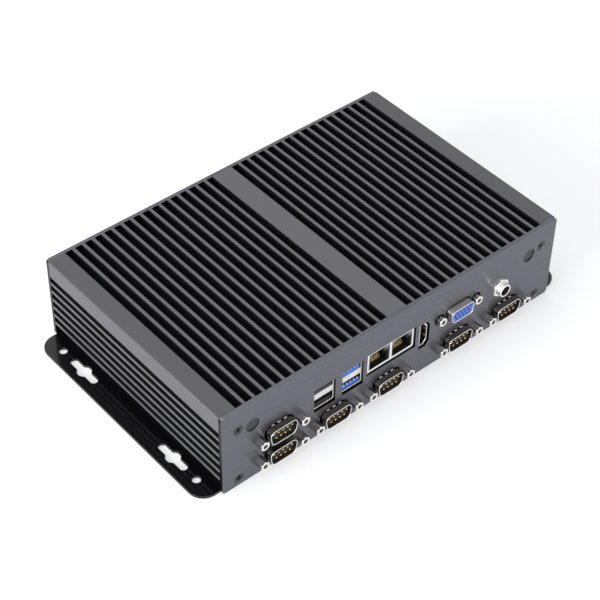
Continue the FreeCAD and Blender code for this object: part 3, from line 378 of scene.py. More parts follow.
def between(finish, value, low, high):
    """One where the value lies above low and below high, in millimetres, else nought."""
    above = maths(finish.tree, "GREATER_THAN", value, low * MM)
    below = maths(finish.tree, "LESS_THAN", value, high * MM)
    return maths(finish.tree, "MULTIPLY", above, below)


print("material helpers ready")

# %% [markdown]
# The stage comes before the parts, because a finish can only be judged under its light.
# A white studio could be a bright dome, but that would wash every metal out.  Here the world
# is white only for the rays that look at it or mirror it, and a plain grey for the light it
# casts; three large soft lamps do the rest, so a colour comes out about as it is written.
# The floor glows a little more with distance, so that it runs into the white without an edge.

# %% Stage: world, floor and lamps
scene = bpy.context.scene
scene.view_settings.view_transform = "Standard"


def seen_directly(tree):
    """One for a ray from the camera, off a mirror or through glass, else nought."""
    path = tree.nodes.new("ShaderNodeLightPath").outputs
    seen = maths(tree, "MAXIMUM", path["Is Camera Ray"], path["Is Glossy Ray"])
    return maths(tree, "MAXIMUM", seen, path["Is Transmission Ray"])


world = bpy.data.worlds.new("studio")
scene.world = world
world.use_nodes = True
backdrop = world.node_tree.nodes["Background"]
shade = world.node_tree.nodes.new("ShaderNodeMix")
shade.data_type = "RGBA"
shade.inputs[6].default_value = (0.46, 0.47, 0.50, 1)      # the light it casts
shade.inputs[7].default_value = (1, 1, 1, 1)               # what is seen and mirrored
world.node_tree.links.new(seen_directly(world.node_tree), shade.inputs["Factor"])
world.node_tree.links.new(shade.outputs[2], backdrop.inputs["Color"])

floor_mesh = bpy.data.meshes.new("floor")
reach = 4.0                         # metres from the middle to each edge
corners = [(-reach, -reach, 0), (reach, -reach, 0), (reach, reach, 0), (-reach, reach, 0)]
floor_mesh.from_pydata(corners, [], [(0, 1, 2, 3)])
floor_object = bpy.data.objects.new("floor", floor_mesh)
scene.collection.objects.link(floor_object)
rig.stage(floor_object)
paper = Finish("floor paper", roughness=0.9, color=(0.62, 0.62, 0.62))
paper.set("Specular IOR Level", 0.0)
paper.set("Emission Color", (1, 1, 1, 1))
away = paper.add("ShaderNodeVectorMath", operation="LENGTH")
paper.link(paper.coordinates, away.inputs[0])
glow = paper.spread(away.outputs["Value"], 0.5, 1.0, 0.35, 1.2)
paper.link(maths(paper.tree, "MULTIPLY", seen_directly(paper.tree), glow),
           paper.shader.inputs["Emission Strength"])
floor_mesh.materials.append(paper.material)


def soft_lamp(name, place, target, size, watts):
    """Square lamp that looks at a target."""
    data = bpy.data.lights.new(name, "AREA")
    data.shape = "SQUARE"
    data.size = size
    data.energy = watts
    lamp = bpy.data.objects.new(name, data)
    scene.collection.objects.link(lamp)
    aim = (Vector(target) - Vector(place)).to_track_quat("-Z", "Y")
    lamp.matrix_world = Matrix.Translation(place) @ aim.to_matrix().to_4x4()


soft_lamp("lamp over the lid", (-0.2, 0.5, 1.5), (0, 0, 0), 1.2, 6.5)
soft_lamp("lamp at the left", (-1.6, 0.0, 0.5), (0, 0, 0.03), 1.0, 26)
soft_lamp("low lamp in front", (-0.5, -1.3, 0.35), (0, -0.07, 0.03), 0.7, 7)
print("stage ready")

# %% [markdown]
# The camera stands where a visitor would: above the left front corner, with a long lens so
# that the fins stay almost parallel.  Its direction comes from two angles, and a third rolls
# it by a degree.

# %% Camera
camera_data = bpy.data.cameras.new("camera")
camera_data.lens = 102.54
camera_data.sensor_width = 36.0
camera = bpy.data.objects.new("camera", camera_data)
scene.collection.objects.link(camera)
azimuth, elevation, roll = (math.radians(v) for v in (-41.017, 43.888, 1.086))
back = Vector((math.sin(azimuth) * math.cos(elevation), -math.cos(azimuth) * math.cos(elevation),
               math.sin(elevation)))
right = (-back).cross(Vector((0, 0, 1))).normalized()
up = right.cross(-back)
rolled_right = math.cos(roll) * right + math.sin(roll) * up
rolled_up = math.cos(roll) * up - math.sin(roll) * right
camera.matrix_world = (Matrix.Translation((-0.4241, -0.4841, 0.6278))
                       @ Matrix((rolled_right, rolled_up, back)).transposed().to_4x4())
scene.camera = camera
print("camera at", [round(v, 3) for v in camera.matrix_world.translation])

# %% [markdown]
# Housing finishes.  The extrusion is anodised black all over and then ground where it can be
# reached, so its fin tips and bands are a bare mid grey while the grooves stay black; their
# near black is the anodising together with painted shade.  Masks could be painted by hand;
# since the ground faces are exactly the outermost ones, a test on the height and on the
# distance from the middle finds them.

# %% Finish of the extrusion
GROUND_DEPTH = 0.2                  # the grinder leaves nothing black above this depth
MARGIN = 14                         # width of the flat bands along the lid's two sides
shell_low, shell_high = limits("heatsink_shell")


def extrusion_finish():
    """Ground grey where z or |x| is within the ground depth of the outside, a little darker
    on the margins, near black elsewhere for black anodising and painted groove shade
    together; die lines run along Y on all of it."""
    finish = Finish("ground and anodised extrusion")
    axes = finish.axes()
    sideways = maths(finish.tree, "ABSOLUTE", axes["X"])
    top = between(finish, axes["Z"], shell_high[2] - GROUND_DEPTH, shell_high[2] + 1)
    side = between(finish, sideways, shell_high[0] - GROUND_DEPTH, shell_high[0] + 1)
    outer = maths(finish.tree, "MAXIMUM", top, side)
    lines = finish.noise((3.0, 0.02, 3.0), detail=4)
    grain = finish.noise(2.5, detail=2)
    ground = finish.blend(lines, (0.096, 0.094, 0.104), (0.122, 0.120, 0.132))
    ground = finish.blend(finish.spread(grain, 0.0, 0.5), ground, (0.112, 0.110, 0.121))
    margin = between(finish, sideways, shell_high[0] - MARGIN, shell_high[0] - 0.3)
    darker = finish.blend(grain, (0.068, 0.067, 0.072), (0.092, 0.090, 0.097))
    ground = finish.blend(margin, ground, darker)
    # painted shade: the grooves' near black stands for black anodising and the shade between the fins together
    black = finish.blend(grain, (0.003, 0.0033, 0.004), (0.007, 0.0074, 0.0085))
    finish.color(finish.blend(outer, black, ground))
    finish.roughness(finish.spread(lines, 0.42, 0.56))
    finish.bump(lines, 0.004, 0.35)
    return finish.material


def wear_finish(finish, node):
    """Assigns one finish to the whole of a CAD node."""
    nodes[node].data.materials.clear()
    nodes[node].data.materials.append(finish)


def break_edges(node, width):
    """Welds a CAD node's loose triangles and rounds its edges a little, as tumbling does."""
    weld = nodes[node].modifiers.new("weld", "WELD")
    weld.merge_threshold = 0.00001
    bevel = nodes[node].modifiers.new("broken edges", "BEVEL")
    bevel.width = width * MM
    bevel.segments = 2
    bevel.limit_method = "ANGLE"
    bevel.angle_limit = math.radians(40)
    bevel.harden_normals = True
    bevel.use_clamp_overlap = True


wear_finish(extrusion_finish(), "heatsink_shell")
break_edges("heatsink_shell", 0.12)
print("extrusion finished")

# %% [markdown]
# The end panels are brushed along their length before they are anodised a dark blue grey.
# Brushing is thousands of parallel scratches.  Modelling them would be wasteful, so noise
# squeezed across the scratches and stretched along them drives both the colour and a bump.

# %% Finish of the end panels and the base plate
BLIND_DEPTH = 0.5                   # of the two knock-outs that are not punched through
panel_front, panel_back = depths("front_panel")


def brushed_finish(name, dark, light, roughness, face=None):
    """Metal brushed along X: noise with many grains across and few along.  Where the distance
    of the outer face from the middle is given, walls cut into it are painted near black as
    their shade, and blind floors are darker."""
    finish = Finish(name, metallic=1.0, roughness=roughness)
    scratches = finish.noise((0.05, 7.0, 7.0), detail=4)
    streaks = finish.noise((0.012, 1.6, 1.6), detail=2)
    color = finish.blend(streaks, finish.blend(scratches, dark, light), light)
    if face is not None:
        axes = finish.axes()
        depth = maths(finish.tree, "ABSOLUTE", axes["Y"])
        below, above = face - BLIND_DEPTH - 0.06, face - BLIND_DEPTH + 0.06
        color = finish.blend(between(finish, depth, below, above), color, (0.070, 0.069, 0.076))
        inside = between(finish, axes["Z"], shell_low[2] + 1, shell_high[2] - 0.5)
        # painted shade: the walls of the openings cut through the panel are coloured near black
        for low, high in ((face - 9, below), (above, face - 0.1)):
            wall = maths(finish.tree, "MULTIPLY", between(finish, depth, low, high), inside)
            color = finish.blend(wall, color, (0.012, 0.012, 0.013))
    finish.color(color)
    finish.roughness(finish.spread(scratches, roughness - 0.05, roughness + 0.08))
    finish.bump(scratches, 0.003, 0.5)
    finish.set("Anisotropic", 0.75)
    finish.set("Anisotropic Rotation", 0.25)
    return finish.material


def painted_steel():
    """Glossy black powder coat: faint orange peel in the bump, a little unevenness in gloss."""
    finish = Finish("black powder coat", roughness=0.14)
    peel = finish.noise(0.9, detail=2)
    dust = finish.noise(1.5, detail=2)
    finish.color(finish.blend(dust, (0.0030, 0.0030, 0.0034), (0.0050, 0.0050, 0.0056)))
    finish.roughness(finish.spread(dust, 0.12, 0.17))
    finish.bump(peel, 0.002, 0.25)
    return finish.material


panel_finish = brushed_finish("brushed end panel", (0.070, 0.072, 0.084), (0.165, 0.168, 0.192),
                              0.27, face=-panel_front)
for panel in ("front_panel", "rear_panel"):
    wear_finish(panel_finish, panel)
    break_edges(panel, 0.1)
wear_finish(painted_steel(), "base_plate")
break_edges("base_plate", 0.15)
print("panels and plate finished")

# %% [markdown]
# Small metals and plastics.  Each is a colour with fine variation: plating pools slightly and
# dulls where it is handled, moulded plastic has an even fine texture.

# %% Small finishes


def plated_finish(name, dark, light, roughness, metallic=1.0):
    """Plated metal: colour and gloss drift with soft noise, and a fine grain breaks the shine."""
    finish = Finish(name, metallic=metallic, roughness=roughness)
    drift = finish.noise(0.35)
    grain = finish.noise(6.0, detail=2)
    finish.color(finish.blend(drift, dark, light))
    finish.roughness(finish.spread(grain, roughness - 0.05, roughness + 0.08))
    finish.bump(grain, 0.002, 0.25)
    return finish.material


def moulded_finish(name, dark, light, roughness=0.45):
    """Moulded plastic: a fine spark-eroded texture in the bump and a slight mottle."""
    finish = Finish(name, roughness=roughness)
    mottle = finish.noise(0.4)
    texture = finish.noise(9.0, detail=2)
    finish.color(finish.blend(mottle, dark, light))
    finish.roughness(finish.spread(texture, roughness - 0.06, roughness + 0.08))
    finish.bump(texture, 0.004, 0.3)
    finish.set("Specular IOR Level", 0.3)
    return finish.material


def socket_finish(name, dark, light, face):
    """Moulded face whose contact holes, all that lies behind the face, are in deep shade."""
    finish = Finish(name, roughness=0.4)
    hole = between(finish, finish.axes()["Y"], face + 0.15, face + 30)
    mottle = finish.noise(0.4)
    finish.color(finish.blend(hole, finish.blend(mottle, dark, light), (0.010, 0.018, 0.080)))
    finish.bump(finish.noise(9.0, detail=2), 0.004, 0.3)
    return finish.material


def clear_finish(name, tint):
    """Clear light pipe: tinted, with faint swirls where it was moulded."""
    finish = Finish(name, roughness=0.15)
    swirl = finish.noise(0.6)
    finish.color(finish.blend(swirl, tuple(v * 0.85 for v in tint), tint))
    finish.roughness(finish.spread(swirl, 0.1, 0.25))
    finish.set("Transmission Weight", 0.75)
    return finish.material


nickel = plated_finish("bright nickel", (0.80, 0.79, 0.77), (0.92, 0.91, 0.89), 0.26)
# painted shade: a darkened copy of nickel for the walls and flanges of sockets
shaded_nickel = plated_finish("nickel with painted shade", (0.17, 0.155, 0.14), (0.27, 0.25, 0.23), 0.2)
# painted shade: a dimmer, rougher copy of nickel for the video port's walls
shaded_soft_nickel = plated_finish("soft nickel with painted wall shade", (0.62, 0.60, 0.57), (0.78, 0.76, 0.73), 0.34)
# painted shade: nickel darkened for the sides of the jackscrews
shaded_bar_nickel = plated_finish("bar nickel with painted side shade", (0.36, 0.345, 0.33), (0.56, 0.54, 0.52), 0.24)
# painted shade: dark brown for the insides of bores and for the pin inside the inlet
bore_shade_brown = plated_finish("brown painted shade of bores", (0.10, 0.075, 0.06), (0.17, 0.13, 0.11), 0.4)
matt_tin = plated_finish("matt tin", (0.78, 0.76, 0.72), (0.90, 0.88, 0.84), 0.45, metallic=0.3)
tin = plated_finish("bright tin", (0.84, 0.84, 0.83), (0.94, 0.94, 0.93), 0.3)
dark_oxide = plated_finish("blackened screws", (0.05, 0.05, 0.052), (0.10, 0.10, 0.105), 0.22)
zinc = plated_finish("zinc plated steel", (0.34, 0.34, 0.35), (0.50, 0.50, 0.51), 0.3)
gold = plated_finish("gold flash", (0.72, 0.44, 0.13), (0.88, 0.58, 0.20), 0.3)
# painted shade: gold darkened for the rods of the serial pins
shaded_gold = plated_finish("gold with painted shade", (0.17, 0.115, 0.045), (0.30, 0.21, 0.085), 0.32)
copper = plated_finish("rolled copper", (0.50, 0.22, 0.12), (0.66, 0.32, 0.18), 0.35)
steel = brushed_finish("turned steel", (0.34, 0.34, 0.35), (0.52, 0.52, 0.53), 0.25)
black_plastic = moulded_finish("black glass-filled plastic", (0.010, 0.010, 0.011),
                               (0.020, 0.020, 0.022))
port_black = moulded_finish("insulator black", (0.022, 0.028, 0.050), (0.034, 0.041, 0.070), 0.4)
video_blue = socket_finish("insulator blue", (0.075, 0.155, 0.600), (0.100, 0.190, 0.680),
                           depths("video_core")[0])
tongue_blue = moulded_finish("tongue blue", (0.018, 0.170, 0.780), (0.028, 0.215, 0.880), 0.4)
pad_grey = moulded_finish("thermal pad", (0.16, 0.17, 0.19), (0.22, 0.23, 0.25), 0.8)
light_pipe = clear_finish("light pipe", (0.52, 0.60, 0.57))


def board_finish():
    """Circuit board: green lacquer over copper tracks, which show as slightly lighter cells."""
    finish = Finish("lacquered circuit board", roughness=0.35)
    cells = finish.add("ShaderNodeTexVoronoi", feature="DISTANCE_TO_EDGE")
    cells.inputs["Scale"].default_value = 260.0
    finish.link(finish.coordinates, cells.inputs["Vector"])
    tracks = finish.spread(cells.outputs["Distance"], 1.0, 0.0, 0.02, 0.12)
    finish.color(finish.blend(tracks, (0.010, 0.060, 0.022), (0.018, 0.110, 0.040)))
    finish.bump(tracks, 0.02, 0.4)
    return finish.material


board_green = board_finish()
print("small finishes ready")

# %% [markdown]
# Nodes whose shape is already right keep it.  Flat faces with square edges never catch the
# light, though, so the ones that show get a narrow bevel as well as their finish.

# %% Finishes on the kept nodes
kept = {
    port_black: [f"serial_core_{k}" for k in range(1, 7)],
    black_plastic: ["network_cores", "hd_video_core", "inlet_body", "memory_socket",
                     "drive_socket", "board_link", "processor", "power_coils"],
    video_blue: ["video_core"],
    gold: ["slow_data_contacts"],
    light_pipe: ["network_lights"],
    tin: ["network_shield"],
    zinc: ["board_screws", "board_standoffs", "switch_nut"],
    board_green: ["main_board", "serial_board", "memory_module", "drive_module"],
    copper: ["heat_spreader"],
    pad_grey: ["thermal_pad"],
    nickel: ["coin_cell"],
}
for finish, names in kept.items():
    for name in names:
        wear_finish(finish, name)
for name in ("network_cores", "network_shield", "hd_video_core", "video_core", "network_lights"):
    break_edges(name, 0.08)
print("kept nodes finished:", sum(len(names) for names in kept.values()))

# %% [markdown]
# Serial ports.  Each has a pressed steel shell: a flange behind the panel and a nose with
# sloping sides that stands out through it, its rim rolled over.  A nose could be extruded and
# bevelled, but the rolled rim and the small foot radius are what the eye reads as pressed
# sheet, so the wall is carried round one closed profile instead.

# %% Pressed connector shells
SLOPE = math.radians(10)            # of a nose's sides, from upright
SHEET = 0.4                         # thickness of a nose's wall
FOOT = 0.45                         # radius where a nose leaves its flange
FLANGE = (30.8, 12.5, 1.2)          # width, height and corner radius
JACKSCREW_X = 12.495                # from the middle of a port to each of its jackscrews
SERIAL_NOSE = (17.8, 9.26, 3.0)     # width, height and corner radius
VIDEO_NOSE = (16.3, 7.9, 2.2)
SERIAL_PORTS = [f"serial_shell_{k}" for k in range(1, 7)]


def nose_outline(centre, size, grow):
    """Sloping-sided outline, wide side up, moved out by grow; the corners keep one centre."""
    width, height, radius = size
    top = width / 2 + grow * (1 / math.cos(SLOPE) + math.tan(SLOPE))
    full = height + 2 * grow
    bottom = top - full * math.tan(SLOPE)
    x, z = centre
    corners = [(x + top, z + full / 2), (x - top, z + full / 2),
               (x - bottom, z - full / 2), (x + bottom, z - full / 2)]
    return rounded(corners, radius + grow)


def box_outline(centre, width, height, radius, steps=8):
    """Rounded rectangle about a centre."""
    (x, z), w, h = centre, width / 2, height / 2
    corners = [(x + w, z + h), (x - w, z + h), (x - w, z - h), (x + w, z - h)]
    return rounded(corners, radius, steps)


def rolled_nose(centre, size, tip, foot, back):
    """Wall of a nose.  The profile runs up the outside from a small foot radius, over a
    half-round rim as thick as the wall, and down the inside: each pair is grow and depth.
    The rim has the first finish; the walls behind it have the second, which is darker as painted shade."""
    rim = [(SHEET / 2 * (math.cos(t) - 1), tip + SHEET / 2 * (1 - math.sin(t)))
           for t in np.linspace(0, math.pi, 7)]
    fillet = [(FOOT * (1 - math.sin(t)), foot - FOOT * (1 - math.cos(t)))
              for t in np.linspace(0, math.pi / 2, 5)]
    profile = [(FOOT, back)] + fillet + [(0, tip + 0.3)] + rim + [(-SHEET, back)]
    rings = [ring(nose_outline(centre, size, grow), y) for grow, y in profile]
    bright = len(fillet) + 1
    return lined(band(rings), len(rings[0]), (0, bright, 1), (bright + len(rim), len(profile), 1))


def flange_plate(centre, size, front, back, chamfer=0.12):
    """Flat plate round the nose, its edges broken: outline of the plate, then of its hole."""
    width, height, radius = FLANGE
    outer = [ring(box_outline(centre, width - e, height - e, radius), y)
             for e, y in ((0, back), (0, front + chamfer), (2 * chamfer, front))]
    inner = [ring(nose_outline(centre, size, 0.3), y) for y in (front, back)]
    return lined(band(outer + inner), len(outer[0]), (0, len(outer) + len(inner), 1))


def sheet_dash(centre_x, y, z, length, width, height):
    """Pressed dimple on top of a nose: rounded outlines that shrink as they rise."""
    rings = []
    for lift, shrink in ((-0.15, 0.0), (0.45 * height, 0.0), (0.8 * height, 0.12), (height, 0.3)):
        plan = box_outline((centre_x, y), length - shrink, width - shrink, 0.24 - shrink / 3, 4)
        rings.append(np.column_stack([plan, np.full(len(plan), z + lift)]))
    return loft(rings)


def hexagon_outline(centre, flat, columns, limit=None):
    """Hexagon with a corner above: the radius is half the flat over the cosine of the angle
    from the nearest flat, and never more than the limit, which makes a turned chamfer."""
    angle = np.linspace(0, 2 * math.pi, columns, endpoint=False)
    from_flat = (angle + math.pi / 6) % (math.pi / 3) - math.pi / 6
    radius = flat / 2 / np.cos(from_flat)
    if limit is not None:
        radius = np.minimum(radius, limit)
    return np.column_stack([centre[0] + radius * np.cos(angle), centre[1] + radius * np.sin(angle)])


def port_shell(name, node, size, foot, finishes, dashes=()):
    """Flange, nose, two clinch nuts behind, and dimples on top at their distances along X."""
    x, z = centre_of(node)
    tip, rear = depths(node)
    parts = [flange_plate((x, z), size, foot, foot + 1),
             rolled_nose((x, z), size, tip, foot, foot + 1)]
    parts += [loft([ring(hexagon_outline((x + side * JACKSCREW_X, z), 4.8, 48), y)
                    for y in (foot + 1, rear)]) for side in (-1, 1)]
    parts += [sheet_dash(x + dash, foot - 1.7, z + size[1] / 2, 1.7, 0.8, 0.3) for dash in dashes]
    add_piece(name, parts, finishes, [node], "nickel")


# painted shade: the walls and flanges of the serial noses take nickel darkened as shade; the rims keep bright nickel
for k, node in enumerate(SERIAL_PORTS, 1):
    port_shell(f"serial_port_shell_{k}", node, SERIAL_NOSE, panel_back, (nickel, shaded_nickel),
               (-3.8, 0, 3.8))
# painted shade: the video port's walls and flange take the dimmer nickel, its rim the bright
port_shell("video_port_shell", "video_shell", VIDEO_NOSE, depths("video_shell")[0] + 6.2,
           (nickel, shaded_soft_nickel))

# %% [markdown]
# Contact pins.  Machined pins are plain rods with a domed tip, so each is a turned profile:
# a straight side, then a quarter circle to the middle.  The insulators that hold them fill
# their noses to just behind the rim.  Seen at a slant, the depth of that dark face decides how
# much of the pins shows, so each face gets a lofted block of its own with softened edges.

# %% Pins and insulators of the serial ports
PIN_PITCH, ROW_PITCH = 2.77, 2.84
FACE_DEPTH = 2.4                    # of an insulator's face behind the rim of its nose


def domed_pin(centre, radius, tip, root, columns=14):
    """Rod along Y whose tip is a dome: radius times the sine of an angle, as far back from the
    tip as the radius less its cosine.  The dome has the first finish and the rod the second,
    which on the serial pins is gold darkened as painted shade."""
    turn = np.linspace(0.12, math.pi / 2, 6)
    profile = [(radius * math.sin(t), tip + radius * (1 - math.cos(t))) for t in turn]
    rings = turned(centre, profile + [(radius, root)], columns)
    return lined(loft(rings), columns, (len(turn) - 1, len(turn), 1))


pins, insulators = [], []
pin_tip = depths("serial_pins")[0]
for port in SERIAL_PORTS:
    x, z = centre_of(port)
    for count, row in ((5, 0.5), (4, -0.5)):
        across = x + (np.arange(count) - (count - 1) / 2) * PIN_PITCH
        pins += [domed_pin((px, z + row * ROW_PITCH), 0.5, pin_tip, panel_back + 0.3)
                 for px in across]
    face = depths(port)[0] + FACE_DEPTH
    profile = ((-0.8, face), (-0.55, face + 0.15), (-0.45, face + 0.3), (-0.45, panel_back))
    insulators.append(loft([ring(nose_outline((x, z), SERIAL_NOSE, grow), y)
                            for grow, y in profile]))
# painted shade: the rods of the pins take darkened gold, the domes bright gold
add_piece("serial_port_pins", pins, (gold, shaded_gold), ["serial_pins"], "gold")
add_piece("serial_port_insulators", insulators, port_black, slot="black_plastic")

# %% [markdown]
# Jackscrews.  A hexagonal standoff is cut from hexagon bar on a lathe: the tool that faces its
# end also takes the six corners off along a cone, and the tapped hole is a helix.  Taking the
# smaller of the hexagon's radius and the cone's gives the curved chamfer exactly, and letting
# the hole's radius follow the sine of depth and angle together gives the thread.

# %% Jackscrews
BAR = 4.75                          # across the flats of the hexagon bar
JACK_THREAD = (1.1, 0.08, 0.64)     # mean radius, ripple and pitch


def thread_rings(centre, thread, start, end, columns, per_turn=8):
    """Threaded wall: the radius swings by the ripple with depth over pitch less the angle, and
    the swing fades out over the first and last half turn."""
    radius, ripple, pitch = thread
    rows = max(4, int(abs(end - start) / pitch * per_turn))
    depth = np.linspace(start, end, rows)[:, None]
    angle = np.linspace(0, 2 * math.pi, columns, endpoint=False)[None, :]
    inside = np.clip(np.minimum(abs(depth - start), abs(end - depth)) / (pitch / 2), 0, 1)
    r = radius + ripple * inside * np.sin(2 * math.pi * depth / pitch - angle)
    x, z = centre[0] + r * np.cos(angle), centre[1] + r * np.sin(angle)
    return np.stack([x, np.broadcast_to(depth, x.shape), z], -1)


def jackscrew(centre, tip, seat, end):
    """Hexagonal jackscrew: shank, hexagon, chamfer, mouth of the hole, thread, flat bottom.
    The faced end is bright nickel; the bar's sides take a darker nickel and the hole dark brown, both as painted
    shade."""
    columns = 48
    hexagon = [ring(hexagon_outline(centre, BAR, columns, limit), y)
               for limit, y in ((None, seat), (None, tip + 0.3), (2.5, tip + 0.1), (2.36, tip))]
    shank = turned(centre, [(1.4, end), (1.4, seat)], columns)
    mouth = turned(centre, [(1.3, tip), (1.15, tip + 0.15)], columns)
    thread = thread_rings(centre, JACK_THREAD, tip + 0.2, tip + 3.9, columns)
    bottom = turned(centre, [(1.1, tip + 4.1), (0.5, tip + 4.2)], columns)
    rings = np.concatenate([shank, hexagon, mouth, thread, bottom])
    sides, hole = len(shank) + 1, len(shank) + len(hexagon)
    return lined(loft(rings), columns, (0, sides, 1), (hole, len(rings) - 1, 2))


def jackscrew_set(name, node, ports, seat):
    """All the jackscrews of one node, two beside each port."""
    tip, end = depths(node)
    parts = [jackscrew((x + side * JACKSCREW_X, z), tip, seat, end)
             for x, z in map(centre_of, ports) for side in (-1, 1)]
    # painted shade: the jackscrews' sides take darkened nickel and their holes dark brown; the faced ends bright
    # nickel
    add_piece(name, parts, (nickel, shaded_bar_nickel, bore_shade_brown), [node], "jackscrew", sharp=28)


jackscrew_set("serial_port_jackscrews", "serial_jackscrews", SERIAL_PORTS, panel_front)
jackscrew_set("video_port_jackscrews", "video_jackscrews", ["video_shell"], panel_back + 0.3)

# %% [markdown]
# Power inlet.  A threaded neck comes through the panel and a thin hexagonal nut clamps it.
# The neck's wall is one closed band: outer thread, turned rim, plain bore.

# %% Power inlet
NECK_THREAD = (3.8, 0.05, 0.75)     # mean radius, ripple and pitch
NUT_BORE = 3.9                      # radius


def threaded_neck(node):
    """Outer thread up to a chamfered rim, then the smooth bore, as rings from back to tip."""
    centre, (tip, root), columns = centre_of(node), depths(node), 72
    outside = thread_rings(centre, NECK_THREAD, root, tip + 0.55, columns, 10)
    rim = turned(centre, [(3.78, tip + 0.4), (3.6, tip + 0.1), (3.42, tip), (3.12, tip),
                          (2.9, tip + 0.12), (2.8, tip + 0.4), (2.8, root)], columns)
    rings = np.concatenate([outside, rim])
    return lined(band(rings), columns, (len(rings) - 3, len(rings), 1))


def clamping_nut(node):
    """Hexagonal nut: the chamfer cone bites only its corners, so each flat keeps an arch."""
    centre, (front, seat), columns = centre_of(node), depths(node), 72
    flat = limits(node)[1][0] - limits(node)[0][0]
    outside = [ring(hexagon_outline(centre, flat, columns, limit), y)
               for limit, y in ((flat / 2 + 0.5, seat), (flat / 2 + 0.5, front + 0.6),
                                (flat / 2 + 0.2, front + 0.2), (flat / 2 - 0.15, front))]
    inside = turned(centre, [(NUT_BORE + 0.25, front), (NUT_BORE, front + 0.2), (NUT_BORE, seat)],
                    columns)
    return band(np.concatenate([outside, inside]))


# painted shade: the bore of the neck and the pin inside it are dark brown
add_piece("power_inlet_neck", [threaded_neck("inlet_barrel")], (nickel, bore_shade_brown),
          ["inlet_barrel"], "nickel")
add_piece("power_inlet_nut", [clamping_nut("inlet_nut")], nickel, ["inlet_nut"], "nickel", sharp=28)
add_piece("power_inlet_pin", [domed_pin(centre_of("inlet_pin"), 1.05, *depths("inlet_pin"), 28)],
          bore_shade_brown, ["inlet_pin"], "inlet_metal")

# %% [markdown]
# Countersunk screws.  The cross recess could be cut with a boolean, which leaves slivers on a
# small head.  A disc whose points are simply pushed down where they lie inside the cross has
# the same sloping walls and a clean grid.

# %% Countersunk screws


def cross_head_screw(head_r, head_h, shank_r, length):
    """Screw along its own +Z, its head a little below the surface.  Rings grow from the middle;
    a point goes down by the recess depth times how far it is inside both the arm's half width
    and the cross's reach, all as shares of the head's radius."""
    columns, sunk = 96, 0.15
    arm, reach, recess = 0.15, 0.6, 0.42
    angle = np.linspace(0, 2 * math.pi, columns, endpoint=False)[None, :]
    share = np.concatenate([np.linspace(0.04, 0.66, 18), np.linspace(0.72, 0.94, 4)])[:, None]
    u, v = share * head_r * np.cos(angle), share * head_r * np.sin(angle)
    across = np.minimum(abs(u), abs(v)) / head_r
    along = np.maximum(abs(u), abs(v)) / head_r
    inside = np.clip((arm - across) / 0.05, 0, 1) * np.clip((reach - along) / 0.12, 0, 1)
    depth = sunk + inside * head_r * recess * (1 - 0.35 * along)
    face = np.stack([u, v, depth], -1)
    side = [(head_r * 0.985, sunk + 0.05), (head_r, sunk + 0.16), (shank_r, head_h + sunk),
            (shank_r, length - shank_r * 0.6), (shank_r * 0.5, length)]
    radius, height = np.array(side).T[:, :, None]
    rest = np.stack([radius * np.cos(angle), radius * np.sin(angle),
                     np.broadcast_to(height, (len(side), columns))], -1)
    return loft(np.concatenate([face, rest]))


def screw_set(name, node, origins, axis, sizes):
    """The screws of one node, each turned to an angle of its own and then laid along the axis."""
    lay = np.array(Vector((0, 0, 1)).rotation_difference(Vector(axis)).to_matrix())
    parts = []
    for k, origin in enumerate(origins):
        points, faces = cross_head_screw(*sizes)
        spin = math.radians((17 + 61 * k) % 90)
        c, s = math.cos(spin), math.sin(spin)
        turn = np.array([[c, s, 0], [-s, c, 0], [0, 0, 1]])
        parts.append((points @ turn @ lay.T + origin, faces))
    add_piece(name, parts, dark_oxide, [node], "screw", sharp=28)


def corners_inside(node, radius):
    """Lowest and highest place of a node's screws: its box drawn in by their heads' radius."""
    low, high = limits(node)
    return low + radius, high - radius


PANEL_SCREW = (2.8, 1.5, 1.5, 9.0)  # radius and height of the head, radius of the shank, length
BASE_SCREW = (2.4, 1.2, 1.25, 6.5)
low, high = corners_inside("front_panel_screws", PANEL_SCREW[0])
for end, y, inward in (("front", panel_front, 1), ("rear", depths("rear_panel")[1], -1)):
    screw_set(f"{end}_panel_screws_cross", f"{end}_panel_screws",
              [(x, y, z) for x in (low[0], high[0]) for z in (low[2], high[2])],
              (0, inward, 0), PANEL_SCREW)
low, high = corners_inside("base_screws", BASE_SCREW[0])
screw_set("base_screws_cross", "base_screws",
          [(x, y, 0) for x in (low[0], high[0]) for y in (low[1], high[1])],
          (0, 0, 1), BASE_SCREW)

# %% [markdown]
# Twin data ports and the upright digital video socket.  Both are folded sheet: rounded folds,
# a mouth with a flat bright rim, and spring fingers that lean into the mouth.  The data ports
# come forward into the panel's openings, where their rims and tongues catch the light.

# %% Folded sockets


def folded_shell(outer, inner, front, back):
    """Wall between two outlines of as many points, with a rounded rim at the front in the first
    finish and the walls in the second, which is darker as painted shade.
    """
    lip, mean = 0.1, (outer + inner) / 2
    rings = [ring(outer, back), ring(outer, front + lip), ring(outer + (mean - outer) * 0.2, front),
             ring(inner + (mean - inner) * 0.2, front), ring(inner, front + lip), ring(inner, back)]
    return lined(band(rings), len(outer), (0, 1, 1), (4, 6, 1))


def block(centre, size, radius, edge=0.08):
    """Rounded bar along Y with broken ends: centre and size are x, y, z."""
    (x, y, z), (w, d, h) = centre, size
    rings = [ring(box_outline((x, z), w - e, h - e, radius, 4), place)
             for e, place in ((edge * 2, y - d / 2), (0, y - d / 2 + edge),
                              (0, y + d / 2 - edge), (edge * 2, y + d / 2))]
    return loft(rings)


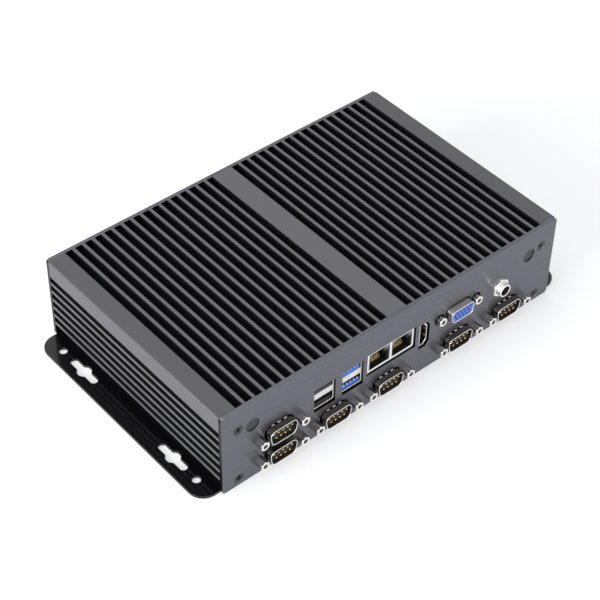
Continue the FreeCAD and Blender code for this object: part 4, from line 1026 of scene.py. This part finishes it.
def spring_finger(x, z, front, lean, width=2.2, length=5.0, thick=0.18):
    """Strip along Y that bows into the mouth: its height is lean times the sine of its length."""
    t = np.linspace(0, 1, 12)
    rise = lean * np.sin(math.pi * t)
    y = front + 0.7 + length * t
    half = width / 2 * (1 - 0.15 * t)
    i, j = np.array([(-1, -1), (1, -1), (1, 1), (-1, 1)]).T
    rings = np.stack([x + i * half[:, None], np.broadcast_to(y[:, None], (len(y), len(i))),
                      z + rise[:, None] + j * thick / 2], -1)
    return lined(loft(rings), len(i), (0, len(y), 1))


def turned_finger(x, z, front, lean):
    """The same finger on an upright wall: its X and Z offsets change places."""
    points, faces, finishes = spring_finger(0, 0, front, lean, 1.1, 3.0, 0.25)
    return points[:, [2, 1, 0]] + (x, 0, z), faces, finishes * 2


LIP_DEPTH = 1.15                    # of the folded mouths behind the panel's front
CUT_OUT_TOP = 33.3                  # upper edge of the openings for the data ports
FOLD, MOUTH = 0.6, 5.3              # thickness of the folded sheet and height of a mouth
TONGUE_WIDTH, TONGUE_THICK = 11.0, 2.3
TONGUE_RECESS = 0.5                 # of the tongues' tips behind the rims of the mouths
CONTACT_THICK = 0.12
tongue_tip = panel_front + LIP_DEPTH + TONGUE_RECESS


def data_port(name, node):
    """Twin port: one folded shell, a waist between its mouths, a back wall and four spring
    fingers.  It stands inside its opening, so its top stays just below the opening's edge."""
    low, high = limits(node)
    x, front, back = centre_of(node)[0], panel_front + LIP_DEPTH, high[1]
    bottom, top, width = low[2], CUT_OUT_TOP - 0.1, high[0] - low[0]
    z, height = (bottom + top) / 2, top - bottom
    waist_low, waist_high = bottom + FOLD + MOUTH, high[2] - FOLD - MOUTH
    parts = [folded_shell(box_outline((x, z), width, height, 0.7),
                          box_outline((x, z), width - 2 * FOLD, height - 2 * FOLD, 0.35),
                          front, back),
             block((x, (front + back) / 2 + 0.1, (waist_low + waist_high) / 2),
                   (width - FOLD, back - front - 0.2, waist_high - waist_low), 0.3),
             block((x, back - 0.2, z), (width - FOLD, 0.4, height - FOLD), 0.3, 0.05)]
    parts += [spring_finger(x + side, ceiling, front + 1.5, -0.5)
              for side in (-2.9, 2.9) for ceiling in (waist_low, top - FOLD)]
    # painted shade: the walls behind the rim, the inner walls and the spring fingers take darkened nickel
    add_piece(name, parts, (matt_tin, shaded_nickel), [node], "nickel")


def data_tongues(name, node, contacts, material, slot):
    """Two tongues and the moulded block that joins them behind; the flat contacts lie on the
    tongues' tops, which gives their height."""
    low, high = limits(node)
    x, back, roof = centre_of(node)[0], high[1], CUT_OUT_TOP - 0.8
    tops = (limits(contacts)[0][2], limits(contacts)[1][2] - CONTACT_THICK)
    parts = [block((x, (tongue_tip + back) / 2, top - TONGUE_THICK / 2),
                   (TONGUE_WIDTH, back - tongue_tip, TONGUE_THICK), 0.3, 0.15) for top in tops]
    parts.append(block((x, back - 3, (low[2] + roof) / 2), (12.0, 6, roof - low[2]), 0.3))
    add_piece(name, parts, material, [node], slot)


data_port("slow_data_port_shell", "slow_data_shell")
data_port("fast_data_port_shell", "fast_data_shell")
data_tongues("slow_data_port_tongues", "slow_data_tongues", "slow_data_contacts",
             black_plastic, "black_plastic")
data_tongues("fast_data_port_tongues", "fast_data_tongues", "fast_data_contacts",
             tongue_blue, "bright_blue_plastic")

hd_low, hd_high = limits("hd_video_shell")
hd_x, hd_z = centre_of("hd_video_shell")


def hd_outline(grow, radius):
    """Upright outline with its two right-hand corners cut, moved out by grow."""
    w, h = (hd_high[0] - hd_low[0]) / 2 + grow, (hd_high[2] - hd_low[2]) / 2 + grow
    cut_x, cut_z = 2.0, 2.6
    corners = [(hd_x + w, hd_z + h - cut_z), (hd_x + w - cut_x, hd_z + h), (hd_x - w, hd_z + h),
               (hd_x - w, hd_z - h), (hd_x + w - cut_x, hd_z - h), (hd_x + w, hd_z - h + cut_z)]
    return rounded(corners, radius, 6)


# painted light: the walls take nickel darkened as painted shade, the spring fingers bright gold as a painted highlight
add_piece("hd_video_port_shell",
          [folded_shell(hd_outline(0, 0.75), hd_outline(-0.65, 0.4), hd_low[1], hd_high[1])]
          + [turned_finger(hd_high[0] - 0.7, hd_z + up, hd_low[1], -0.45) for up in (-2.2, 2.6)],
          (tin, shaded_nickel, gold), ["hd_video_shell"], "nickel")

# %% [markdown]
# Spring contacts.  In a network jack eight wires leave the floor of the plug hole, slope up
# and run level to the back; the fast data port's tongues have flat contacts whose rounded
# noses reach their tips.  A bent wire is a rectangle carried along a path, so one helper makes
# them all.  The jack's shield also gets the pressed tin face that frames both plug holes; as
# one band between two outlines and a bar between the holes, it is plain to see what is sheet
# and what is hole.

# %% Contacts of the network jacks and the fast data port, and the jacks' face
WIRE_PITCH = 1.02
SOLID_WIRE, SOLID_CONTACT = 0.45, 1.1       # widths that the solids have


def bent_wire(x, path, width, thick):
    """Rectangle carried along a path of (y, z) pairs: its corners lie half the thickness to
    either side along the path's normal, which is its direction turned by a quarter."""
    path = np.asarray(path, float)
    along = np.gradient(path, axis=0)
    along /= np.linalg.norm(along, axis=1, keepdims=True)
    normal = np.stack([-along[:, 1], along[:, 0]], -1)
    i, j = np.array([(-1, -1), (1, -1), (1, 1), (-1, 1)]).T / 2
    y = path[:, :1] + normal[:, :1] * j * thick
    z = path[:, 1:] + normal[:, 1:] * j * thick
    return loft(np.stack([np.broadcast_to(x + i * width, y.shape), y, z], -1))


wires_low, wires_high = limits("network_contacts")
shield_low, shield_high = limits("network_shield")
shield_x, shield_z = centre_of("network_shield")
shield_w, _, shield_h = shield_high - shield_low
jack_front = shield_low[1]
jack_offset = (wires_high[0] - wires_low[0] - 7 * WIRE_PITCH - SOLID_WIRE) / 2
bend = np.array([(2.9, 0.2), (3.3, 0.3), (3.7, 0.7), (5.7, 3.5), (6.1, 3.9), (6.8, 4.0),
                 (12.5, 4.0)]) + (jack_front, wires_low[2])
wires = [bent_wire(shield_x + side * jack_offset + (k - 3.5) * WIRE_PITCH, bend, 0.3, CONTACT_THICK)
         for side in (-1, 1) for k in range(8)]
add_piece("network_jack_wires", wires, gold, ["network_contacts"], "gold")

mouth_z, mouth_h = shield_z + 0.35, shield_h - 2.5
jack_frame = folded_shell(box_outline((shield_x, shield_z), shield_w, shield_h, 0.3),
                          box_outline((shield_x, mouth_z), shield_w - 2.8, mouth_h, 0.3),
                          jack_front - 0.3, jack_front + 0.1)
divider = block((shield_x, jack_front - 0.1, mouth_z), (1.5, 0.4, mouth_h), 0.1)
add_piece("network_jack_face", [jack_frame[:2], divider], tin, slot="tin")

low, high = limits("fast_data_contacts")
strips = []
for z in (low[2], high[2] - CONTACT_THICK):
    nose = [(tongue_tip + 0.05, z - 0.35), (tongue_tip + 0.05, z + 0.1),
            (tongue_tip + 0.35, z + 0.3), (tongue_tip + 1.4, z + 0.25), (high[1], z + 0.06)]
    strips += [bent_wire(x, nose, 0.9, CONTACT_THICK)
               for x in np.linspace(low[0] + SOLID_CONTACT / 2, high[0] - SOLID_CONTACT / 2, 5)]
add_piece("fast_data_port_contacts", strips, gold, ["fast_data_contacts"], "gold")

# %% [markdown]
# Rear controls.  The push button is a dished cap in a chamfered bezel, and the two lights are
# domed pipes.  All of them were turned or moulded round, so each is one profile swept about
# its own axis.

# %% Rear controls
switch = centre_of("power_button")
cap_root, cap_top = depths("power_button")
sleeve_root, bezel_top = depths("switch_body")
panel_inside, panel_outside = depths("rear_panel")
cap = [(5.5, cap_root), (5.5, cap_root + 1.2), (4.8, cap_root + 1.2), (4.8, cap_top - 0.3),
       (4.7, cap_top - 0.08), (4.5, cap_top), (4.2, cap_top - 0.03)]
cap += [(4.0 * t, cap_top - 0.05 - 0.35 * (1 - t ** 2)) for t in np.linspace(1, 0.03, 10)]
add_piece("power_button_cap", [loft(turned(switch, cap, 72))], steel, ["power_button"],
          "switch_metal", sharp=25, body="button")

sleeve = [(6.9, sleeve_root), (6.9, panel_outside), (8.0, panel_outside), (8.0, bezel_top - 0.7),
          (7.75, bezel_top - 0.25), (7.2, bezel_top), (5.7, bezel_top), (5.35, bezel_top - 0.15),
          (5.1, bezel_top - 0.5), (5.1, cap_root + 1.5), (5.8, cap_root + 1.5),
          (5.8, cap_root - 1.5), (0.3, cap_root - 1.5)]
add_piece("power_switch_body", [loft(turned(switch, sleeve, 72))], steel, ["switch_body"],
          "switch_metal", sharp=25)

low, high = limits("status_lights")
stem = [(1.5, low[1]), (1.5, panel_inside - 1), (2.2, panel_inside - 1), (2.2, panel_inside),
        (1.5, panel_inside)]
stem += [(1.5 * math.cos(t), high[1] - 0.4 + 0.4 * math.sin(t)) for t in np.linspace(0, 1.45, 7)]
light_z = (low[2] + high[2]) / 2
lights = [loft(turned((x, light_z), stem, 32)) for x in (low[0] + 2.2, high[0] - 2.2)]
add_piece("status_light_pipes", lights, light_pipe, ["status_lights"], "light_pipe")

# %% [markdown]
# Last, the size of what is seen is kept beside the size of the solids, so that the two can be
# compared.

# %% Size
json.dump({"cad": cad_box, "visual": [list(corner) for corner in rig.bounds()]},
          open("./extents.json", "w"))
print(open("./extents.json").read())
